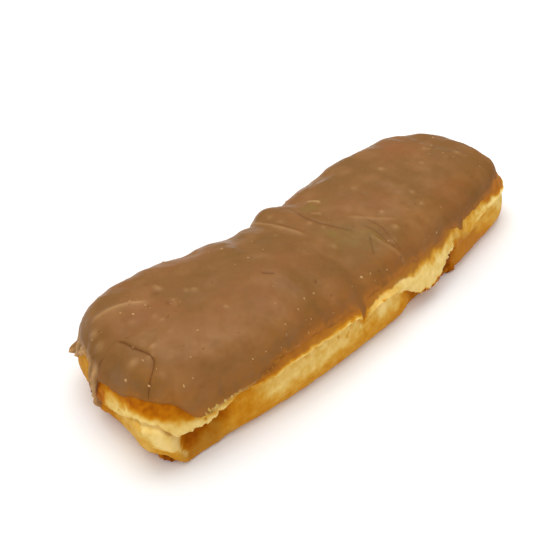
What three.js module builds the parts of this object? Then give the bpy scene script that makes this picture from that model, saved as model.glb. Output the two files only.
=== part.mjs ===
// Maple bar: a raised dough bar under a skin of maple icing.
//
// X runs along the bar from its square near end to its round far end, Y from its torn front side to its
// back, and Z up from its flat base. Sizes are in millimetres.

import * as THREE from 'three';

// Plan of the bar
const LENGTH = 164;
const WIDTH = 53;
const NEAR_BOW = 5.0; // how far each end swings towards the back
const FAR_BOW = 2.6;
const NEAR_SQUARENESS = 4.6; // exponents of the outline: 2 is an ellipse, more is squarer
const FAR_SQUARENESS = 3.0;
const HALF_LENGTH = LENGTH / 2;
const HALF_WIDTH = WIDTH / 2;
const SPINE_HALF = HALF_LENGTH - HALF_WIDTH;

// Where the outline swells or draws in: place on the straight bar, reach and step outwards
const SWELLS = {
  nearFrontCorner: { x: -82, y: -25, reach: 7.5, step: 7.2 },
  nearFace: { x: -82, y: -6, reach: 9, step: 0.6 },
  nearBackCorner: { x: -81, y: 22, reach: 8.5, step: -4.2 },
  nearBackSide: { x: -46, y: 26.5, reach: 16, step: -1.4 },
  nearBackLump: { x: -77, y: 24.5, reach: 6.5, step: 1.6 },
  waist: { x: -16, y: 26.5, reach: 12, step: -3.8 },
  waistLump: { x: -6, y: 26.5, reach: 3, step: 1.5 },
  farBackSide: { x: 40, y: 26.5, reach: 22, step: 0.8 },
  farTip: { x: 82, y: 3, reach: 13, step: -3.2 },
  farFrontCorner: { x: 76, y: -19, reach: 11, step: 5.2 },
};

// Rings from the middle of the base to the middle of the crown: the share of the way from the spine to
// the outline, a step outwards from there, and the height
const RINGS = {
  baseCentre: { share: 0, step: 0, height: 0 },
  baseInner: { share: 0.5, step: 0, height: 0 },
  baseFlat: { share: 0.8, step: 0, height: 0 },
  baseRim: { share: 0.94, step: 0, height: 0 },
  heel: { share: 1, step: -0.2, height: 0.2 },
  belly: { share: 1, step: 1.2, height: 3.0 },
  brow: { share: 1, step: 1.3, height: 6.2 },
  fold: { share: 1, step: 0.6, height: 9.0 },
  lipRoot: { share: 1, step: 0.6, height: 9.4 },
  lipUnder: { share: 1, step: 1.0, height: 9.6 },
  lipEdge: { share: 1, step: 1.3, height: 9.9 },
  lipFace: { share: 1, step: 1.5, height: 11.2 },
  band: { share: 1, step: 0.7, height: 13.2 },
  shoulder: { share: 1, step: -2.0, height: 17.4 },
  crownRim: { share: 0.8, step: 0, height: 22.0 },
  crown: { share: 0.45, step: 0, height: 23.6 },
  crownCentre: { share: 0, step: 0, height: 24.0 },
};
const RING_NAMES = Object.keys(RINGS);
const TOP_LEVEL = RING_NAMES.length - 1;

// Folds and tears: where each starts and ends along the rim, how softly, and how far it moves each ring,
// outwards and up. A run along the rim is counted from the middle of the near end, positive on the front.
const FOLDS = {
  backCorner: {
    start: -24, end: -2.6, softStart: 8, softEnd: 5,
    moves: {
      baseRim: [-1.6, 0], heel: [-2.6, 0], belly: [-3.0, 0], brow: [-2.8, 0], fold: [-2.4, 0],
      lipRoot: [-1.8, 0], lipUnder: [-1.6, 0], lipEdge: [-1.5, 0], lipFace: [-1.0, 0],
    },
  },
  earSide: {
    start: -14, end: -2.5, softStart: 5, softEnd: 4,
    moves: { lipRoot: [0.2, 0], lipUnder: [0.4, 0], lipEdge: [0.6, 0], lipFace: [0.6, 0], band: [0.3, 0] },
  },
  endFoot: {
    start: 0.5, end: 23, softStart: 6, softEnd: 6,
    moves: { baseRim: [-1.2, 0], heel: [-2.0, 0], belly: [-1.5, 0], brow: [-0.6, 0] },
  },
  nearLip: {
    start: -30, end: 7, softStart: 14, softEnd: 9,
    moves: {
      belly: [0, -0.6], brow: [0, -2.0], fold: [-1.0, -2.6], lipRoot: [-1.0, -2.8],
      lipUnder: [-0.6, -2.6], lipEdge: [0.1, -2.6], lipFace: [0.2, -1.4],
    },
  },
  tongueTop: {
    start: 12.5, end: 21.8, softStart: 7, softEnd: 4,
    moves: {
      fold: [1.0, 3.2], lipRoot: [0.4, 3.8], lipUnder: [-0.2, 4.0],
      lipEdge: [-0.2, 3.9], lipFace: [0, 2.8], band: [0, 1.4], shoulder: [0, 0.3],
    },
  },
  tongue: {
    start: 15, end: 22.8, softStart: 5, softEnd: 3.6,
    moves: { brow: [2.2, 1.4], fold: [2.0, 0.6] },
  },
  tongueFoot: {
    start: 15, end: 24.9, softStart: 5, softEnd: 3.6,
    moves: { heel: [0.6, 0], belly: [1.4, 0.6] },
  },
  tongueTip: {
    start: 22, end: 26.5, softStart: 4, softEnd: 3.6,
    moves: { heel: [1.6, 0], belly: [1.0, -1.2] },
  },
  cornerFoot: {
    start: 26, end: 33, softStart: 4, softEnd: 5,
    moves: { heel: [1.3, 0], belly: [1.1, 0] },
  },
  cornerLip: {
    start: 21.5, end: 31, softStart: 4, softEnd: 8,
    moves: { lipRoot: [-0.6, -0.8], lipUnder: [-0.4, -0.4], lipEdge: [1.0, -0.2], lipFace: [0.8, 0] },
  },
  cavityRoof: {
    start: 23.4, end: 33, softStart: 3.6, softEnd: 7,
    moves: { fold: [-7.0, -1.4], lipRoot: [-5.0, -0.2], lipUnder: [-0.6, 0.2] },
  },
  cavityBack: {
    start: 24.3, end: 33, softStart: 3.6, softEnd: 7,
    moves: { brow: [-6.0, -2.0] },
  },
  cavityFloor: {
    start: 25.6, end: 33, softStart: 3.6, softEnd: 7,
    moves: { belly: [-2.6, -0.8] },
  },
  frontFoot: {
    start: 24, end: 104, softStart: 5, softEnd: 12,
    moves: { heel: [1.5, 0], belly: [1.3, 0], brow: [0.8, 0] },
  },
  tallWall: {
    start: 35.5, end: 46, softStart: 5, softEnd: 10,
    moves: {
      brow: [-0.2, 1.0], fold: [-0.2, 2.4], lipRoot: [-0.2, 2.6],
      lipUnder: [-0.2, 2.6], lipEdge: [-0.2, 2.4], lipFace: [-0.2, 1.6],
    },
  },
  frontLip: {
    start: 50, end: 81, softStart: 8, softEnd: 4,
    moves: {
      brow: [0, 1.2], fold: [-0.1, 2.9], lipRoot: [-0.3, 3.1], lipUnder: [-0.1, 3.0],
      lipEdge: [0.2, 2.9], lipFace: [0.3, 1.9], band: [0, 0.4],
    },
  },
  notch: {
    start: 81.6, end: 84.8, softStart: 4, softEnd: 4,
    moves: {
      brow: [-0.5, 0], fold: [-0.6, 0], lipUnder: [-0.9, 0],
      lipEdge: [-1.1, 0], lipFace: [-1.3, 0], band: [-0.9, 0],
    },
  },
  secondLip: {
    start: 86, end: 98, softStart: 5, softEnd: 8,
    moves: {
      brow: [-0.2, 1.4], fold: [-0.6, 2.9], lipRoot: [-0.8, 3.0],
      lipUnder: [0.2, 2.9], lipEdge: [0.7, 2.8], lipFace: [0.4, 1.7], band: [0, 0.4],
    },
  },
  tornFlap: {
    start: 107, end: 123.5, softStart: 12, softEnd: 9,
    moves: {
      belly: [-2.0, -1.6], brow: [-2.6, -4.0], fold: [-2.4, -5.8], lipRoot: [-1.0, -5.7],
      lipUnder: [1.2, -5.9], lipEdge: [1.9, -5.7], lipFace: [1.8, -3.9], band: [1.1, -1.6],
    },
  },
  flapShadow: {
    start: 128, end: 132, softStart: 6, softEnd: 8,
    moves: { heel: [-1.0, 0], belly: [-2.0, 0], brow: [-2.0, 0], fold: [-1.5, 0.6] },
  },
  farFoot: {
    start: 130, end: 186, softStart: 10, softEnd: 16,
    moves: { heel: [1.2, 0], belly: [1.4, 0], brow: [0.9, 0] },
  },
  farSkin: {
    start: 132, end: 158, softStart: 4, softEnd: 14,
    moves: { fold: [0.6, 0], lipRoot: [0.7, 0], lipUnder: [0.4, 0], lipEdge: [0.2, 0] },
  },
  farLip: {
    start: 147, end: 182, softStart: 10, softEnd: 14,
    moves: {
      brow: [0, 0.8], fold: [0, 2.4], lipRoot: [-0.2, 2.5], lipUnder: [-0.1, 2.4],
      lipEdge: [0.1, 2.3], lipFace: [0.2, 1.4],
    },
  },
};

// Top of the bar: a valley across it, two higher places, and mounds and hollows
const LIFT_START = 10; // height where the top begins to follow its dips and swells
const LIFT_RANGE = 12;
const VALLEY = { depth: 3.4, x: -5, skew: 0.15, reach: 11 };
const MOUNDS = [
  { rise: -1.5, x: -37, y: 21, reachX: 5.5, reachY: 8 },
  { rise: -3.0, x: -24, y: 21, reachX: 5, reachY: 8 },
  { rise: -1.9, x: -13.2, y: 22, reachX: 2.4, reachY: 6 },
  { rise: 2.2, x: -6, y: 22, reachX: 3, reachY: 6 },
  { rise: 0.9, x: -0.5, y: 21, reachX: 2.6, reachY: 7 },
  { rise: -1.9, x: 6.5, y: 21, reachX: 4, reachY: 8 },
  { rise: -1.2, x: 18, y: 21, reachX: 7, reachY: 8 },
  { rise: -2.2, x: 78, y: -12, reachX: 7, reachY: 8 },
];
const FAR_SWELL = { rise: 0.8, x: 52, reach: 20 };
const CORNER_SWELL = { rise: 1.6, x: -75, y: 19, reach: 10 };

// Icing: where its edge lies, counted in rings, with drips that come lower and patches left bare
const ICING_LEVEL = 11.9;
const ICING_RIPPLES = [
  { rise: 0.05, wave: 23, phase: 0.4 },
  { rise: 0.04, wave: 9, phase: 1.7 },
];
const ICING_EDGES = {
  earHang: { start: -24, end: -14.5, softStart: 6, softEnd: 3.6, rise: -0.9 },
  bareSide: { start: -12.5, end: -3.6, softStart: 3.6, softEnd: 3.6, rise: 0.5 },
  endDrip: { start: -3.4, end: 0.6, softStart: 3.6, softEnd: 3.6, rise: -5.6 },
  bareEnd: { start: 2, end: 25.5, softStart: 5, softEnd: 5, rise: 0.4 },
  bareCorner: { start: 13.5, end: 24.5, softStart: 7, softEnd: 5, rise: 0.65 },
  cornerDrip: { start: 27.5, end: 44, softStart: 4, softEnd: 6, rise: -0.45 },
  wallDrip: { start: 36.5, end: 41.5, softStart: 4, softEnd: 4, rise: -0.5 },
  bareFront: { start: 49.5, end: 137, softStart: 6, softEnd: 5, rise: 0.45 },
  notchDrip: { start: 81.6, end: 85, softStart: 4, softEnd: 4, rise: -1.6 },
  secondBare: { start: 86, end: 101, softStart: 4, softEnd: 6, rise: 0.3 },
  flapTop: { start: 103, end: 133, softStart: 8, softEnd: 6, rise: 0.32 },
  smallDrip: { start: 135, end: 139, softStart: 4, softEnd: 4, rise: -0.45 },
  farFront: { start: 137, end: 195, softStart: 4, softEnd: 12, rise: 0.55 },
  farCorner: { start: 164, end: 182, softStart: 8, softEnd: 12, rise: 0.55 },
};
const ICING_GAP = 0.3;
const ICING_THICKNESS = 1.3;
const ICING_RIM = 0.5; // thickness left at the very edge
const ICING_ROUNDING = 0.14; // share of the way to the crown over which the edge rounds off
const EAR = { start: -19, end: -16.2, softStart: 4.4, softEnd: 4.4, level: 11.4, reach: 0.35, rise: 3.2 };
const DRIP = { start: -4, end: 0.6, softStart: 3.6, softEnd: 3.6, level: 6.8, reach: 1.8, rise: 0.6 };

// Grid of the solids
const COLUMNS = 150;
const CROWDING = 0.35; // how much closer the columns stand at the near end, and wider at the far end
const SIDE_LEVELS = [0, 1.1, 2, 3, 3.7, 4.3, 5, 5.7, 6.4, 7, 7.6, 8.2, 8.8, 9.4, 10, 10.6];
const SIDE_SHARE = 0.9; // the share of the way up to the icing's edge that those levels take at most
const COVERED_SHARES = [0, 0.06, 0.14, 0.25, 0.37, 0.5, 0.63, 0.76, 0.88, 1];

const DOUGH = { color: 0xe0b35f, roughness: 0.8, metalness: 0 };
const ICING = { color: 0x946941, roughness: 0.45, metalness: 0 };

function bump(distance, reach) {
  return Math.exp(-0.5 * (distance / reach) ** 2);
}

function stretch(run, { start, end, softStart, softEnd }) {
  const rise = THREE.MathUtils.smoothstep(run, start - softStart / 2, start + softStart / 2);
  const fall = THREE.MathUtils.smoothstep(run, end - softEnd / 2, end + softEnd / 2);
  return rise * (1 - fall);
}

// Half of the plan outline, from the far tip over the back to the near tip
class HalfOutline extends THREE.Curve {
  constructor() {
    super();
    this.arcLengthDivisions = 4000;
  }

  getPoint(share, target = new THREE.Vector2()) {
    const angle = Math.PI * share;
    const power = share < 0.5 ? FAR_SQUARENESS : NEAR_SQUARENESS;
    const along = Math.abs(Math.cos(angle) / HALF_LENGTH) ** power;
    const across = Math.abs(Math.sin(angle) / HALF_WIDTH) ** power;
    const radius = (along + across) ** (-1 / power);
    return target.set(radius * Math.cos(angle), radius * Math.sin(angle));
  }
}

function mirrored(column) {
  return (COLUMNS - column) % COLUMNS;
}

// Stations round the rim, closer together at the near end: the run, the spine's point, the outline's
// point and the way out
function rimStations() {
  const outline = new HalfOutline();
  const halfRim = outline.getLength();
  return Array.from({ length: COLUMNS }, (_, column) => {
    const onBack = column <= COLUMNS / 2;
    const fromFar = (2 * Math.min(column, mirrored(column))) / COLUMNS;
    const walked = fromFar * (1 + CROWDING * (1 - fromFar));
    const straight = outline.getPointAt(walked);
    straight.y *= onBack ? 1 : -1;
    const spine = new THREE.Vector2(THREE.MathUtils.clamp(straight.x, -SPINE_HALF, SPINE_HALF), 0);
    const out = straight.clone().sub(spine).normalize();
    const edge = straight.clone();
    for (const { x, y, reach, step: swell } of Object.values(SWELLS)) {
      edge.addScaledVector(out, swell * bump(Math.hypot(straight.x - x, straight.y - y), reach));
    }
    const fromNear = halfRim * (1 - walked);
    return { run: onBack ? -fromNear : fromNear, spine, edge, out };
  });
}

function crownLift(x, y) {
  const valley = VALLEY.depth * bump(x - VALLEY.x - VALLEY.skew * y, VALLEY.reach);
  const mounds = MOUNDS.reduce(
    (sum, mound) => sum + mound.rise * bump(x - mound.x, mound.reachX) * bump(y - mound.y, mound.reachY), 0);
  const farSwell = FAR_SWELL.rise * bump(x - FAR_SWELL.x, FAR_SWELL.reach);
  const fromCorner = Math.hypot(x - CORNER_SWELL.x, y - CORNER_SWELL.y);
  return farSwell + CORNER_SWELL.rise * bump(fromCorner, CORNER_SWELL.reach) + mounds - valley;
}

function ringPoint(name, station) {
  const { share, step, height } = RINGS[name];
  let outwards = step;
  let rise = 0;
  for (const fold of Object.values(FOLDS)) {
    const [moveOut, moveUp] = fold.moves[name] ?? [0, 0];
    const weight = stretch(station.run, fold);
    outwards += moveOut * weight;
    rise += moveUp * weight;
  }
  const place = station.spine.clone().lerp(station.edge, share).addScaledVector(station.out, outwards);
  const follow = THREE.MathUtils.smoothstep(height, LIFT_START, LIFT_START + LIFT_RANGE);
  const z = Math.max(height + rise + follow * crownLift(place.x, place.y), 0);
  const bow = (place.x < 0 ? NEAR_BOW : FAR_BOW) * (place.x / HALF_LENGTH) ** 2;
  return new THREE.Vector3(place.x, place.y + bow, z);
}

// A column's rings, with the mirrored column's rings beyond the base and the crown, so that the two
// sides of the bar run smoothly into each other over the spine
function columnRings(stations) {
  const rings = stations.map((station) => RING_NAMES.map((name) => ringPoint(name, station)));
  return rings.map((own, column) => {
    const other = rings[mirrored(column)];
    return [other[1], ...own, other[TOP_LEVEL - 1]];
  });
}

// Cubic B-spline through a column's rings, at a level counted in rings
function splinePoint(rings, level) {
  const span = Math.min(Math.floor(level), TOP_LEVEL - 1);
  const t = level - span;
  const weights = [(1 - t) ** 3, 3 * t ** 3 - 6 * t ** 2 + 4, -3 * t ** 3 + 3 * t ** 2 + 3 * t + 1, t ** 3];
  const point = new THREE.Vector3();
  weights.forEach((weight, i) => point.addScaledVector(rings[span + i], weight / 6));
  return point;
}

function icingEdge(run) {
  let level = ICING_LEVEL;
  for (const { rise, wave, phase } of ICING_RIPPLES) {
    level += rise * Math.sin((2 * Math.PI * run) / wave + phase);
  }
  for (const edge of Object.values(ICING_EDGES)) {
    level += edge.rise * stretch(run, edge);
  }
  return level;
}

// Levels of a column's points, up the bare side and then under the icing to the crown; where the icing's
// edge lies lower or higher than usual, the points near it shift with it
function columnLevels(run) {
  const edge = icingEdge(run);
  const highest = SIDE_LEVELS.at(-1);
  const lowered = Math.min(SIDE_SHARE * edge - highest, 0);
  const side = SIDE_LEVELS.map((level) => level + lowered * (level / highest) ** 2);
  const covered = COVERED_SHARES.map((share) => {
    const usual = ICING_LEVEL + (TOP_LEVEL - ICING_LEVEL) * share;
    return usual + (edge - ICING_LEVEL) * (1 - share) ** 3;
  });
  return [...side, ...covered];
}

function icingThickness(run, level, share) {
  const rounding = 1 - Math.min(share / ICING_ROUNDING, 1);
  const body = ICING_RIM + (ICING_THICKNESS - ICING_RIM) * Math.sqrt(1 - rounding ** 2);
  const ear = EAR.rise * stretch(run, EAR) * bump(level - EAR.level, EAR.reach);
  const drip = DRIP.rise * stretch(run, DRIP) * bump(level - DRIP.level, DRIP.reach);
  return share > 0 ? body + ear + drip : body;
}

// A point's number in a grid that closes round the columns; a pinched row joins each column to its
// mirrored one
function pointIndex(row, column, pinched) {
  const around = column % COLUMNS;
  return row * COLUMNS + (pinched.includes(row) ? Math.min(around, mirrored(around)) : around);
}

// Faces over such a grid, each cell cut along its shorter diagonal
function gridFaces(shapeRows, pinched) {
  const faces = [];
  for (let row = 0; row + 1 < shapeRows.length; row += 1) {
    for (let column = 0; column < COLUMNS; column += 1) {
      const next = (column + 1) % COLUMNS;
      const a = pointIndex(row, column, pinched);
      const b = pointIndex(row, next, pinched);
      const c = pointIndex(row + 1, next, pinched);
      const d = pointIndex(row + 1, column, pinched);
      const rising = shapeRows[row][column].distanceTo(shapeRows[row + 1][next]);
      const falling = shapeRows[row][next].distanceTo(shapeRows[row + 1][column]);
      faces.push(...(rising < falling ? [[a, b, c], [a, c, d]] : [[a, b, d], [b, c, d]]));
    }
  }
  return faces;
}

function solid(points, faces) {
  const geometry = new THREE.BufferGeometry().setFromPoints(points);
  geometry.setIndex(faces.filter(([a, b, c]) => a !== b && b !== c && c !== a).flat());
  geometry.computeVertexNormals();
  return geometry;
}

function named(name, geometry, finish) {
  const mesh = new THREE.Mesh(geometry, new THREE.MeshStandardMaterial(finish));
  mesh.name = name;
  return mesh;
}

const stations = rimStations();
const rings = columnRings(stations);
const levels = stations.map(({ run }) => columnLevels(run));
const rowCount = SIDE_LEVELS.length + COVERED_SHARES.length;
const doughRows = Array.from({ length: rowCount }, (_, row) => (
  rings.map((column, i) => splinePoint(column, levels[i][row]))
));
const doughPinched = [0, rowCount - 1];
const doughGeometry = solid(doughRows.flat(), gridFaces(doughRows, doughPinched));

// One face of the icing, standing off the dough along its normals
function icingFace(offsetAt) {
  const normals = doughGeometry.getAttribute('normal');
  const normal = new THREE.Vector3();
  return COVERED_SHARES.map((share, i) => {
    const row = SIDE_LEVELS.length + i;
    return stations.map(({ run }, column) => {
      normal.fromBufferAttribute(normals, pointIndex(row, column, doughPinched));
      const offset = offsetAt(run, levels[column][row], share);
      return doughRows[row][column].clone().addScaledVector(normal, offset);
    });
  });
}

// The icing's inner and outer faces, cut into triangles as the dough under them is, with a strip that
// closes their edge
function icingGeometry() {
  const inner = icingFace(() => ICING_GAP);
  const outer = icingFace((run, level, share) => ICING_GAP + icingThickness(run, level, share));
  const coveredFaces = gridFaces(doughRows.slice(SIDE_LEVELS.length), [COVERED_SHARES.length - 1]);
  const outerStart = COVERED_SHARES.length * COLUMNS;
  const faces = coveredFaces.flatMap(([a, b, c]) => [
    [c, b, a],
    [a + outerStart, b + outerStart, c + outerStart],
  ]);
  for (let column = 0; column < COLUMNS; column += 1) {
    const next = (column + 1) % COLUMNS;
    faces.push([column, next, next + outerStart], [column, next + outerStart, column + outerStart]);
  }
  return solid([...inner, ...outer].flat(), faces);
}

const mapleBar = new THREE.Group();
mapleBar.name = 'maple_bar';
mapleBar.add(named('dough_bar', doughGeometry, DOUGH), named('maple_icing', icingGeometry(), ICING));

// The origin is under the middle of the whole bar
const middle = new THREE.Box3().setFromObject(mapleBar).getCenter(new THREE.Vector3());
mapleBar.position.set(-middle.x, -middle.y, 0);

export default mapleBar;
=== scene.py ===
"""Maple bar: a raised dough bar, pale and torn along its front, under a satin skin of maple icing.

The dough and the icing are grids worked out with numpy. A column of the grid is a station round the rim
of the bar, and a row is a level that climbs from the middle of the base, up the side, to the middle of
the crown. X runs along the bar from its square near end to its round far end, Y from its torn front to
its back, and Z up from its flat base. Shapes are worked out in millimetres and stored in metres.
"""

import math

import bpy
import numpy as np
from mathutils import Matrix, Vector


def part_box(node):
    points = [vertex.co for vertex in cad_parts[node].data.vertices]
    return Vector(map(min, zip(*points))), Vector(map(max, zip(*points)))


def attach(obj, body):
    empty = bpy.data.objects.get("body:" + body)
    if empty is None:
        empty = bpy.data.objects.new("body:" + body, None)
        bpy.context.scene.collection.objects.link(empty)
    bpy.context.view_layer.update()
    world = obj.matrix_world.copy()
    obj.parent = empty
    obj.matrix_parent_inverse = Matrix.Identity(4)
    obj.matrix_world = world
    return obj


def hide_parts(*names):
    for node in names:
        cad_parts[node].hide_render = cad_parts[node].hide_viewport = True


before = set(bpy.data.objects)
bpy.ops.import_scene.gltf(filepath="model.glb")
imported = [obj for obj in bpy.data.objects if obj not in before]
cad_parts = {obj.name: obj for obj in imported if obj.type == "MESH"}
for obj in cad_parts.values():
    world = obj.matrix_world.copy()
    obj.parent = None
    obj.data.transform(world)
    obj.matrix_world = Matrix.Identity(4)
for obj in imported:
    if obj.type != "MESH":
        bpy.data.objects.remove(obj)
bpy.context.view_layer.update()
METRES = 0.001  # one millimetre
TINY = 1e-12  # stands for a length of nothing where one is divided by

# Photograph's view of the bar
IMAGE_SIDE = 550  # pixels
FOCAL_LENGTH = 690  # pixels
SENSOR_WIDTH = 36
AZIMUTH = -47  # degrees; 0 looks along +Y
ELEVATION = 37
DISTANCE = 209
TARGET = (-18.9, 4.6, 10.9)  # on the bar before its box is centred
CLIP_START = 0.01  # metres

# Plan of the bar
LENGTH = 164
WIDTH = 53
NEAR_BOW = 5.0  # how far each end swings towards the back
FAR_BOW = 2.6
NEAR_SQUARENESS = 4.6  # exponents of the outline: 2 is an ellipse, more is squarer
FAR_SQUARENESS = 3.0
HALF_LENGTH = LENGTH / 2
HALF_WIDTH = WIDTH / 2
SPINE_HALF = HALF_LENGTH - HALF_WIDTH
OUTLINE_STEPS = 4000
CROWDING = 0.35  # how much closer the columns stand at the near end, and wider at the far end
COLUMNS = 840
COLUMN = np.arange(COLUMNS)
MIRRORED = -COLUMN % COLUMNS  # column across the bar from each
PINCHED = np.minimum(COLUMN, MIRRORED)  # one column for both of a pair

# Where the outline swells or draws in: x, y on the straight bar, reach and step outwards
SWELLS = {
    "near_front_corner": (-82, -25, 7.5, 7.2),
    "near_face": (-82, -6, 9, 0.6),
    "near_back_corner": (-81, 22, 8.5, -4.2),
    "near_back_side": (-46, 26.5, 16, -1.4),
    "near_back_lump": (-77, 24.5, 6.5, 1.6),
    "waist": (-16, 26.5, 12, -3.8),
    "waist_lump": (-6, 26.5, 3, 1.5),
    "far_back_side": (40, 26.5, 22, 0.8),
    "far_tip": (82, 3, 13, -3.2),
    "far_front_corner": (76, -19, 11, 5.2),
}

# Rings from the middle of the base to the middle of the crown: share of the way from the spine to the
# outline, step outwards from there, and height
RINGS = {
    "base_centre": (0, 0, 0),
    "base_inner": (0.5, 0, 0),
    "base_flat": (0.8, 0, 0),
    "base_rim": (0.94, 0, 0),
    "heel": (1, -0.2, 0.2),
    "belly": (1, 1.2, 3.0),
    "brow": (1, 1.3, 6.2),
    "fold": (1, 0.6, 9.0),
    "lip_root": (1, 0.6, 9.4),
    "lip_under": (1, 1.0, 9.6),
    "lip_edge": (1, 1.3, 9.9),
    "lip_face": (1, 1.5, 11.2),
    "band": (1, 0.7, 13.2),
    "shoulder": (1, -2.0, 17.4),
    "crown_rim": (0.8, 0, 22.0),
    "crown": (0.45, 0, 23.6),
    "crown_centre": (0, 0, 24.0),
}
TOP_LEVEL = len(RINGS) - 1

# Folds and tears: start, end and softness of each end along the rim, lowest ring that moves, and how far it
# and each ring above it moves out, and up where any does. A run along the rim is counted from the middle of
# the near end, positive on the front.
FOLDS = {
    "back_corner": ((-24, -2.6, 8, 5), "base_rim", (-1.6, -2.6, -3.0, -2.8, -2.4, -1.8, -1.6, -1.5, -1.0)),
    "ear_side": ((-14, -2.5, 5, 4), "lip_root", (0.2, 0.4, 0.6, 0.6, 0.3)),
    "end_foot": ((0.5, 23, 6, 6), "base_rim", (-1.2, -2.0, -1.5, -0.6)),
    "near_lip": ((-30, 7, 14, 9), "belly", (0, 0, -1.0, -1.0, -0.6, 0.1, 0.2),
        (-0.6, -2.0, -2.6, -2.8, -2.6, -2.6, -1.4)),
    "tongue_top": ((12.5, 21.8, 7, 4), "fold", (1.0, 0.4, -0.2, -0.2, 0, 0, 0),
        (3.2, 3.8, 4.0, 3.9, 2.8, 1.4, 0.3)),
    "tongue": ((15, 22.8, 5, 1.4), "brow", (2.2, 2.0), (1.4, 0.6)),
    "tongue_foot": ((15, 24.9, 5, 1.6), "heel", (0.6, 1.4), (0, 0.6)),
    "tongue_tip": ((22, 26.5, 4, 3), "heel", (1.6, 1.0), (0, -1.2)),
    "corner_foot": ((26, 33, 4, 5), "heel", (1.3, 1.1)),
    "corner_lip": ((21.5, 31, 4, 8), "lip_root", (-0.6, -0.4, 1.0, 0.8), (-0.8, -0.4, -0.2, 0)),
    "cavity_roof": ((22.7, 33, 1.2, 7), "fold", (-7.0, -5.0, -0.6), (-1.4, -0.2, 0.2)),
    "cavity_back": ((23.7, 33, 1.2, 7), "brow", (-6.0,), (-2.0,)),
    "cavity_floor": ((25.4, 33, 1.4, 7), "belly", (-2.6,), (-0.8,)),
    "front_foot": ((24, 104, 5, 12), "heel", (1.5, 1.3, 0.8)),
    "tall_wall": ((35.5, 46, 5, 10), "brow", (-0.2, -0.2, -0.2, -0.2, -0.2, -0.2),
        (1.0, 2.4, 2.6, 2.6, 2.4, 1.6)),
    "front_lip": ((50, 81, 8, 4), "brow", (0, -0.1, -0.3, -0.1, 0.2, 0.3, 0),
        (1.2, 2.9, 3.1, 3.0, 2.9, 1.9, 0.4)),
    "notch": ((82.2, 84.2, 2.4, 2.2), "brow", (-0.5, -0.6, 0, -0.9, -1.1, -1.3, -0.9)),
    "second_lip": ((86, 98, 5, 8), "brow", (-0.2, -0.6, -0.8, 0.2, 0.7, 0.4, 0),
        (1.4, 2.9, 3.0, 2.9, 2.8, 1.7, 0.4)),
    "torn_flap": ((107, 123.5, 12, 9), "belly", (-2.0, -2.6, -2.4, -1.0, 1.2, 1.9, 1.8, 1.1),
        (-1.6, -4.0, -5.8, -5.7, -5.9, -5.7, -3.9, -1.6)),
    "flap_shadow": ((128, 132, 6, 8), "heel", (-1.0, -2.0, -2.0, -1.5), (0, 0, 0, 0.6)),
    "far_foot": ((130, 186, 10, 16), "heel", (1.2, 1.4, 0.9)),
    "far_skin": ((132, 158, 4, 14), "fold", (0.6, 0.7, 0.4, 0.2)),
    "far_lip": ((147, 182, 10, 14), "brow", (0, 0, -0.2, -0.1, 0.1, 0.2), (0.8, 2.4, 2.5, 2.4, 2.3, 1.4)),
}

# How far torn edges wander out and up, and where along the rim they do: start, end, softness of each end
RAGGED = {"lip_under": (0.1, 0.1), "lip_edge": (0.26, 0.22), "lip_face": (0.18, 0.12)}
TORN_RUNS = ((22, 36, 6, 6), (102, 134, 8, 6))
CALM = 0.25  # share of that wandering elsewhere
WANDER = (((1, 5, 11), (1, 1.5, 13)), ((1, 5, 12), (1, 1.4, 14)))  # its fields: rise, wavelength, seed

# Top of the bar: a valley across it, and mounds and hollows
LIFT_START = 10  # height where the top begins to follow its dips and swells
LIFT_RANGE = 12
VALLEY = (3.4, -5, 0.15, 11)  # depth, x, skew and reach
MOUNDS = (  # rise, x, y, reach along and across
    (0.8, 52, 0, 20, math.inf), (1.6, -75, 19, 10, 10), (-1.5, -37, 21, 5.5, 8), (-3.0, -24, 21, 5, 8),
    (-1.9, -13.2, 22, 2.4, 6), (2.2, -6, 22, 3, 6), (0.9, -0.5, 21, 2.6, 7), (-1.9, 6.5, 21, 4, 8),
    (-1.2, 18, 21, 7, 8), (-2.2, 78, -12, 7, 8))

# Icing: where its edge lies, counted in rings, with drips that come lower and patches left bare
ICING_LEVEL = 11.9
ICING_RIPPLES = ((0.07, 9, 41), (0.035, 3.4, 42))  # rise, wavelength, seed
ICING_EDGES = {
    "ear_hang": ((-24, -12.8, 6, 3), -0.9),
    "bare_side": ((-9.8, -3, 3, 2.4), 0.5),
    "drip_shoulder": ((-3, 0.2, 1.8, 1.2), -0.5),
    "end_drip": ((-2.4, 0.4, 1.6, 1.2), -5.8),
    "bare_end": ((2, 25.5, 5, 5), 0.4),
    "bare_corner": ((11.5, 24.5, 6, 5), 0.65),
    "corner_drip": ((27.5, 44, 4, 6), -0.45),
    "wall_drip": ((36.5, 41.5, 4, 4), -0.5),
    "bare_front": ((49.5, 137, 6, 5), 0.45),
    "notch_drip": ((82.5, 84.1, 1.8, 1.6), -2.4),
    "second_bare": ((85.5, 101, 3, 6), 0.3),
    "flap_top": ((103, 133, 8, 6), 0.32),
    "small_drip": ((135.6, 138.4, 2.4, 2.4), -0.5),
    "far_front": ((137, 195, 4, 12), 0.55),
    "far_corner": ((164, 182, 8, 12), 0.55),
}
ICING_THICKNESS = 1.6
ICING_SINK = 0.25  # how deep the icing's underside sits in the dough
ICING_SETTLING = 0.05  # how far the outer face is let down all over
ICING_LEDGE = 0.34  # share of the thickness that stands up straight at the edge
LEDGE_ROUNDING = 0.7  # how far from the edge the ledge takes to round over
WORN_EDGE = (46, 196, 8, 12)  # window along the rim where that ledge is worn low
LEDGE_WEAR = 0.6  # share of the ledge that is lost there
ICING_TAPER = 6  # how far from the edge the icing takes to reach its full thickness
TAPER_BLUR = 14  # columns either side over which that slow rise is evened out
EDGE_EASE = 1  # how far from the edge the slow rise and the folds take to set in

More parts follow.
